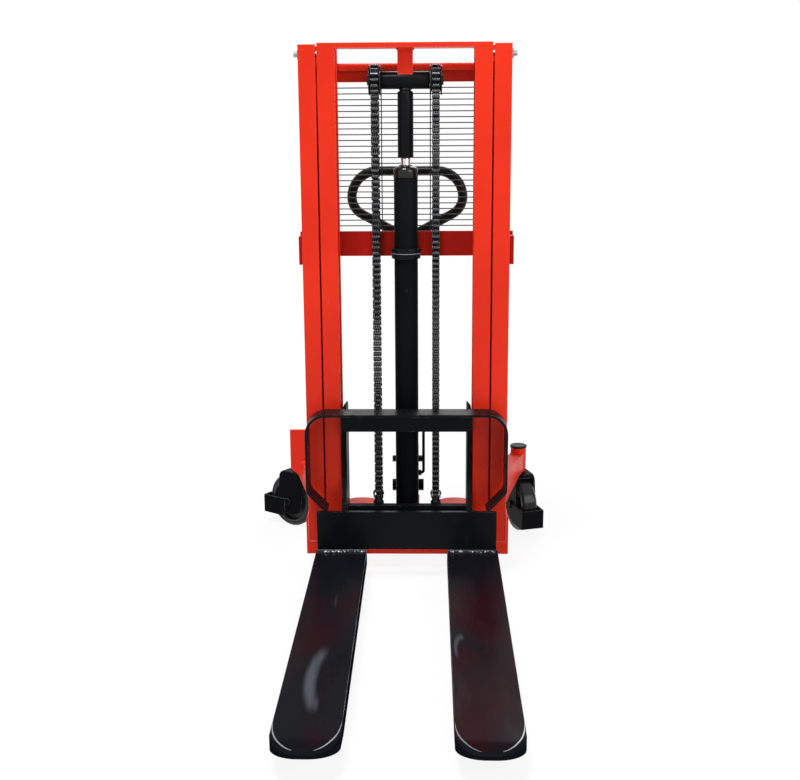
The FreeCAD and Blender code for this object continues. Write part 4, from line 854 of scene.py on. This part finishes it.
weld_reach = fork_high.z - plate_low.z
heel_y = plate_low.y - weld_reach * HEEL_SHARE_OUT
heel_z = plate_low.z + weld_reach * HEEL_SHARE_UP
heel_inner = (fork_low.x + HEEL_INSETS[0], heel_y, heel_z)
heel_outer = (fork_high.x - HEEL_INSETS[1], heel_y, heel_z)
heel = run(heel_inner, heel_outer)
bead("fork_heel_welds", on_both_sides([heel]), HEEL_BEAD, "weld", "carriage")

foot_x = column_high.x
foot_y = column_low.y
foot_runs = [
    run((column_low.x, foot_y, column_low.z), (foot_x, foot_y, column_low.z)),
    run((foot_x, foot_y, column_low.z), (foot_x, foot_y, base_high.z)),
    run((foot_x, foot_y, base_high.z), (foot_x, column_high.y, base_high.z)),
]
bead("column_foot_welds", on_both_sides(foot_runs), FOOT_BEAD, "red_weld", "chassis")

bar_seam_z = bar_high.z - TOP_BAR_HEIGHT
bar_front = (bar_high.x, bar_low.y + TOP_BAR_INSETS[0], bar_seam_z)
bar_back = (bar_high.x, bar_high.y - TOP_BAR_INSETS[1], bar_seam_z)
bar_seam = run(bar_front, bar_back)
bead("top_bar_welds", on_both_sides([bar_seam]), TOP_BAR_BEAD, "red_weld", "inner_mast")

beam_seams = []
for shares in BEAM_WELD_SHARES:
    seam_ends = [beam_low.z + (beam_high.z - beam_low.z) * share for share in shares]
    beam_seams.append(tuple(Vector((column_high.x, column_high.y, z)) for z in seam_ends))
bead("beam_end_welds", on_both_sides(beam_seams), BEAM_BEAD, "red_weld", "chassis")

arm_top = arm_high.z - ARM_TOP_DROP
root_inner = arm_low.x
root_outer = column_low.x + column_high.x - root_inner
arm_runs = [run((root_inner, arm_low.y, arm_top), (root_outer, arm_low.y, arm_top))]
for root_x in (root_inner, root_outer):
    arm_runs.append(run((root_x, arm_low.y, arm_low.z + ARM_INSET), (root_x, arm_low.y, arm_top)))
bead("arm_root_welds", on_both_sides(arm_runs), ARM_BEAD, "red_weld", "chassis")

fin_runs = []
for fin_y in (FIN_FRONT, FIN_FRONT + FIN_THICK):
    fin_runs.append(tuple(Vector((FIN_INNER_X - inset, fin_y, arm_top)) for inset in FIN_INSETS))
bead("fin_welds", fin_runs, FIN_BEAD, "red_weld", "chassis")

side_x = side_high.x - SIDE_PLATE_INSET
carriage_seams = (
    (side_x, crossbar_low.y, crossbar_low.z + CROSSBAR_INSET, crossbar_high.z),
    (side_x, plate_high.y, side_low.z + PLATE_INSETS[0], plate_high.z - PLATE_INSETS[1]),
    (side_high.x, hoop_high.y, hoop_high.z - HOOP_INSETS[0], hoop_high.z - HOOP_INSETS[1]),
)
carriage_runs = [run((x, y, low_z), (x, y, high_z)) for x, y, low_z, high_z in carriage_seams]
bead("carriage_welds", on_both_sides(carriage_runs), CARRIAGE_BEAD, "black_weld", "carriage")

sleeve_bead = bmesh.new()
ring_bead(sleeve_bead, Vector((0, wheel_y, head_z - HEAD_RADIUS)), Z_AXIS, NECK_RADIUS, SLEEVE_BEAD)
piece("sleeve_weld", sleeve_bead, ("black_weld",), "inner_mast")

barrel_bead = bmesh.new()
barrel_foot = Vector((0, wheel_y, barrel_low.z + BARREL_INSET))
ring_bead(barrel_bead, barrel_foot, Z_AXIS, barrel_high.x, BARREL_BEAD)
piece("barrel_foot_weld", barrel_bead, ("black_weld",), "chassis")


# Small fittings

STUD_WASHER_RADIUS = 15.5 * MM
STUD_WASHER_THICK = 2.5 * MM
WASHER_EDGE = 0.3
CAP_LIP = 2 * MM
CAP_EDGE = 5 * MM
CAP_ARC_STEPS = 6
CAP_SIDES = 48
TUBE_FINISH = 1
TUBE_SINK = 2 * MM

# Heights on a swivel cap, in shares of its own: the tube's end, the rounded edge's foot and its rise
TUBE_END = 0.42
CAP_EDGE_FOOT = 0.70
CAP_EDGE_RISE = 0.16

# The dish in a cap's top, as (share of the height, radius)
CAP_DISH = ((0.86, 10 * MM), (0.80, 8.5 * MM), (0.80, 2 * MM))

HEXAGON = 6
NIPPLE_DROP = 32 * MM
NIPPLE_SIZE = 4.2 * MM
COLLAR_LINE = 0.7 * MM
BLEED_SCREW_Z = 866 * MM
BLEED_SCREW = [(-3 * MM, 5.5 * MM), (1 * MM, 5.5 * MM), (2 * MM, 4.2 * MM), (2.4 * MM, 2 * MM)]
ROD_WIPER = [(-1 * MM, 20 * MM), (2 * MM, 20 * MM), (4 * MM, 17 * MM)]

# A nipple's hexagon foot, and its waist and ball tip, in shares of its size
NIPPLE_FOOT = ((0, 1.0), (0.9, 1.0))
NIPPLE_TIP = ((0.9, 0.62), (1.3, 0.45), (1.8, 0.45), (2.1, 0.66), (2.6, 0.6), (2.9, 0.3))


def scaled(profile, size):
    return [(size * along, size * radius) for along, radius in profile]


def washer(bm, centre, axis, outer, thick):
    edge = thick * WASHER_EDGE
    lathe(bm, centre, axis, [(0, outer), (thick - edge, outer), (thick, outer - edge)])


def grease_nipple(bm, base, axis, size):
    """Hexagon foot, waist and ball tip of a grease nipple."""
    lathe(bm, base, axis, scaled(NIPPLE_FOOT, size), HEXAGON)
    lathe(bm, base, axis, scaled(NIPPLE_TIP, size), sides=16)


def swivel_cap(bm, foot, radius, height):
    """End of the red tube with a dished black cap on it."""
    tube_end = height * TUBE_END
    tube_radius = radius - CAP_LIP
    lathe(bm, foot, Z_AXIS, [(-TUBE_SINK, tube_radius), (tube_end, tube_radius)], CAP_SIDES, TUBE_FINISH)
    crown = [(tube_end, radius - 0.5 * MM), (tube_end + 1 * MM, radius)]
    for i in range(CAP_ARC_STEPS + 1):
        angle = math.pi / 2 * i / CAP_ARC_STEPS
        rise = height * (CAP_EDGE_FOOT + CAP_EDGE_RISE * math.sin(angle))
        crown.append((rise, radius - CAP_EDGE * (1 - math.cos(angle))))
    crown += [(height * share, dish_radius) for share, dish_radius in CAP_DISH]
    lathe(bm, foot, Z_AXIS, crown, CAP_SIDES)


stud_low, stud_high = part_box("top_roller_studs")
stud_y = (stud_low.y + stud_high.y) / 2
stud_z = (stud_low.z + stud_high.z) / 2
washers = bmesh.new()
for sign in (-1, 1):
    stud_foot = Vector((sign * column_high.x, stud_y, stud_z))
    washer(washers, stud_foot, X_AXIS * sign, STUD_WASHER_RADIUS, STUD_WASHER_THICK)
piece("stud_washers", washers, ("steel",), "chassis")

cap_low, cap_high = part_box("swivel_caps")
cap_radius = (cap_high.y - cap_low.y) / 2
tube_x = cap_high.x - cap_radius
tube_y = (cap_low.y + cap_high.y) / 2
nipple_y = tube_y + cap_radius - CAP_LIP
caps = bmesh.new()
nipples = bmesh.new()
for sign in (-1, 1):
    swivel_cap(caps, Vector((sign * tube_x, tube_y, cap_low.z)), cap_radius, cap_high.z - cap_low.z)
    grease_nipple(nipples, Vector((sign * tube_x, nipple_y, cap_low.z - NIPPLE_DROP)), Y_AXIS, NIPPLE_SIZE)
cap_discs = piece("swivel_cap_discs", caps, ("cap_plastic", "red_paint"), "chassis")
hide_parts("swivel_caps")
piece("swivel_grease_nipples", nipples, ("brass",), "chassis")

# A pale ring round the collar's middle is a painted highlight along its seam.
collar_low, collar_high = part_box("cylinder_collar")
collar_line = bmesh.new()
collar_middle = Vector((0, wheel_y, (collar_low.z + collar_high.z) / 2))
ring_bead(collar_line, collar_middle, Z_AXIS, collar_high.x, COLLAR_LINE)
piece("collar_seam_highlight", collar_line, ("highlight_edge",), "chassis")

screw = bmesh.new()
lathe(screw, Vector((0, barrel_low.y, BLEED_SCREW_Z)), -Y_AXIS, BLEED_SCREW, sides=24)
piece("bleed_screw", screw, ("black_paint",), "chassis")

gland_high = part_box("cylinder_gland")[1]
rod_seal = bmesh.new()
lathe(rod_seal, Vector((0, wheel_y, gland_high.z)), Z_AXIS, ROD_WIPER)
piece("rod_wiper", rod_seal, ("seal",), "chassis")


# Pump fittings

TANK_BACK = 172 * MM
TANK_BOLT_INSET = 11 * MM
TANK_BOLT_SIZE = 4.6 * MM
FILLER_SIZE = 9.5 * MM
TANK_WELD_INSET = 9 * MM
PUMP_BARREL_MOUTH = 176 * MM
PUMP_BARREL_RADIUS = 24 * MM
PLUNGER_LIP = 2.6 * MM

# A bolt's washer and the head above it, in shares of its size
BOLT_WASHER_RADIUS = 1.25
BOLT_WASHER_THICK = 0.2
BOLT_HEAD = ((BOLT_WASHER_THICK, 1.0), (0.75, 1.0), (0.9, 0.86))


def hex_bolt(bm, foot, axis, size):
    """Washer with a hexagon head on it, the head's corners turned off."""
    washer(bm, foot, axis, size * BOLT_WASHER_RADIUS, size * BOLT_WASHER_THICK)
    lathe(bm, foot, axis, scaled(BOLT_HEAD, size), HEXAGON)


pump_low, pump_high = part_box("pump_unit")
deck_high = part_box("rear_deck")[1]
plunger_low, plunger_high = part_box("pump_plunger")
bolts = bmesh.new()
for sign in (-1, 1):
    bolt_x = sign * (pump_high.x - TANK_BOLT_INSET)
    for bolt_y in (pump_low.y + TANK_BOLT_INSET, TANK_BACK - TANK_BOLT_INSET):
        hex_bolt(bolts, Vector((bolt_x, bolt_y, pump_high.z)), Z_AXIS, TANK_BOLT_SIZE)
tank_y = (pump_low.y + TANK_BACK) / 2
hex_bolt(bolts, Vector((0, tank_y, pump_high.z)), Z_AXIS, FILLER_SIZE)
piece("tank_bolts", bolts, ("steel",), "chassis")

pump_mouth = Vector((0, (plunger_low.y + plunger_high.y) / 2, PUMP_BARREL_MOUTH))
lip = bmesh.new()
ring_bead(lip, pump_mouth, Z_AXIS, (plunger_high.x + PUMP_BARREL_RADIUS) / 2, PLUNGER_LIP)
piece("plunger_wiper", lip, ("seal",), "chassis")

tank_front_y = pump_low.y + TANK_WELD_INSET
tank_back_y = TANK_BACK - TANK_WELD_INSET
tank_run = run((pump_high.x, tank_front_y, deck_high.z), (pump_high.x, tank_back_y, deck_high.z))
bead("tank_foot_welds", on_both_sides([tank_run]), TANK_BEAD, "black_weld", "chassis")


# Floor, light and camera

FLOOR_SIZE = 30
FLOOR_DROP = 0.4 * MM
FLOOR_WHITE = 0.90
SHADOW_CENTRE = (0, -0.3, 0)
SHADOW_REACH = (2.6, 2.6, 2.6)
FLOOR_PALE = rgb(0.93, 0.93, 0.93)
FLOOR_PALER = rgb(0.95, 0.95, 0.95)
WHITE = rgb(1, 1, 1)
SEEN_RAYS = ("Is Glossy Ray", "Is Transmission Ray")

LAMP_TARGET = Vector((0, 0, 0.8))

# Each lamp's name, place, size and power
LAMPS = (
    ("key", (-1.0, -2.1, 6.4), 2.0, 372),
    ("fill", (2.8, -3.0, 2.6), 2.4, 70),
    ("back", (0.6, 3.2, 3.2), 2.0, 60),
)

# The camera that took the reference view
CAMERA_PLACE = Vector((0.0667, -3.4517, 1.3749))
CAMERA_YAW = math.radians(1.430)
CAMERA_PITCH = math.radians(-13.120)
CAMERA_ROLL = math.radians(0.370)
CAMERA_LENS_MM = 53.18
CAMERA_SENSOR_MM = 36.0


def add_floor():
    """Pale floor that shows mostly white to the camera and keeps a faint shadow."""
    bm = bmesh.new()
    bmesh.ops.create_grid(bm, x_segments=1, y_segments=1, size=FLOOR_SIZE)
    mesh = bpy.data.meshes.new("floor")
    bm.to_mesh(mesh)
    bm.free()
    g = Graph("pale floor")
    tone = g.noise(scale=0.6, detail=3.0)
    g.set(Base_Color=g.mix(tone, FLOOR_PALE, FLOOR_PALER), Roughness=0.9, Specular_IOR_Level=0.1)
    path = g.add("ShaderNodeLightPath")
    seen = path.outputs["Is Camera Ray"]
    for ray in SEEN_RAYS:
        seen = g.larger(seen, path.outputs[ray])
    white = g.add("ShaderNodeEmission", {"Color": WHITE, "Strength": 1.0})
    veil = g.times(g.near(SHADOW_CENTRE, SHADOW_REACH), 1 - FLOOR_WHITE)
    share = g.times(seen, g.math("SUBTRACT", 1.0, veil))
    layers = {0: share, 1: g.shader.outputs["BSDF"], 2: white.outputs["Emission"]}
    both = g.add("ShaderNodeMixShader", layers)
    g.put(g.tree.nodes["Material Output"].inputs["Surface"], both.outputs["Shader"])
    mesh.materials.append(g.material)
    floor = bpy.data.objects.new("floor", mesh)
    floor.location.z = -FLOOR_DROP
    bpy.context.scene.collection.objects.link(floor)


def add_world(light, shown):
    """White backdrop for what the camera and reflections see, a softer level for lighting."""
    world = bpy.data.worlds.new("studio")
    bpy.context.scene.world = world
    world.use_nodes = True
    tree = world.node_tree
    background = tree.nodes["Background"]
    background.inputs["Color"].default_value = WHITE
    path = tree.nodes.new("ShaderNodeLightPath")
    seen = path.outputs["Is Camera Ray"]
    for ray in SEEN_RAYS:
        either = tree.nodes.new("ShaderNodeMath")
        either.operation = "MAXIMUM"
        tree.links.new(seen, either.inputs[0])
        tree.links.new(path.outputs[ray], either.inputs[1])
        seen = either.outputs["Value"]
    level = tree.nodes.new("ShaderNodeMapRange")
    level.inputs["To Min"].default_value = light
    level.inputs["To Max"].default_value = shown
    tree.links.new(seen, level.inputs["Value"])
    tree.links.new(level.outputs["Result"], background.inputs["Strength"])


def add_lamp(name, place, size, power):
    lamp = bpy.data.lights.new(name, "AREA")
    lamp.size = size
    lamp.energy = power
    obj = bpy.data.objects.new(name, lamp)
    obj.location = place
    obj.rotation_euler = (LAMP_TARGET - Vector(place)).to_track_quat("-Z", "Y").to_euler()
    bpy.context.scene.collection.objects.link(obj)


def add_camera():
    camera = bpy.data.cameras.new("camera")
    camera.sensor_width = CAMERA_SENSOR_MM
    camera.lens = CAMERA_LENS_MM
    obj = bpy.data.objects.new("camera", camera)
    turn = Matrix.Rotation(CAMERA_YAW, 4, "Z") @ Matrix.Rotation(CAMERA_PITCH, 4, "X")
    turn = turn @ Matrix.Rotation(CAMERA_ROLL, 4, "Y") @ Matrix.Rotation(math.pi / 2, 4, "X")
    obj.matrix_world = Matrix.Translation(CAMERA_PLACE) @ turn
    bpy.context.scene.collection.objects.link(obj)
    bpy.context.scene.camera = obj


add_floor()
add_world(light=0.25, shown=1.0)
for lamp_values in LAMPS:
    add_lamp(*lamp_values)
add_camera()
bpy.context.scene.view_settings.view_transform = "Standard"
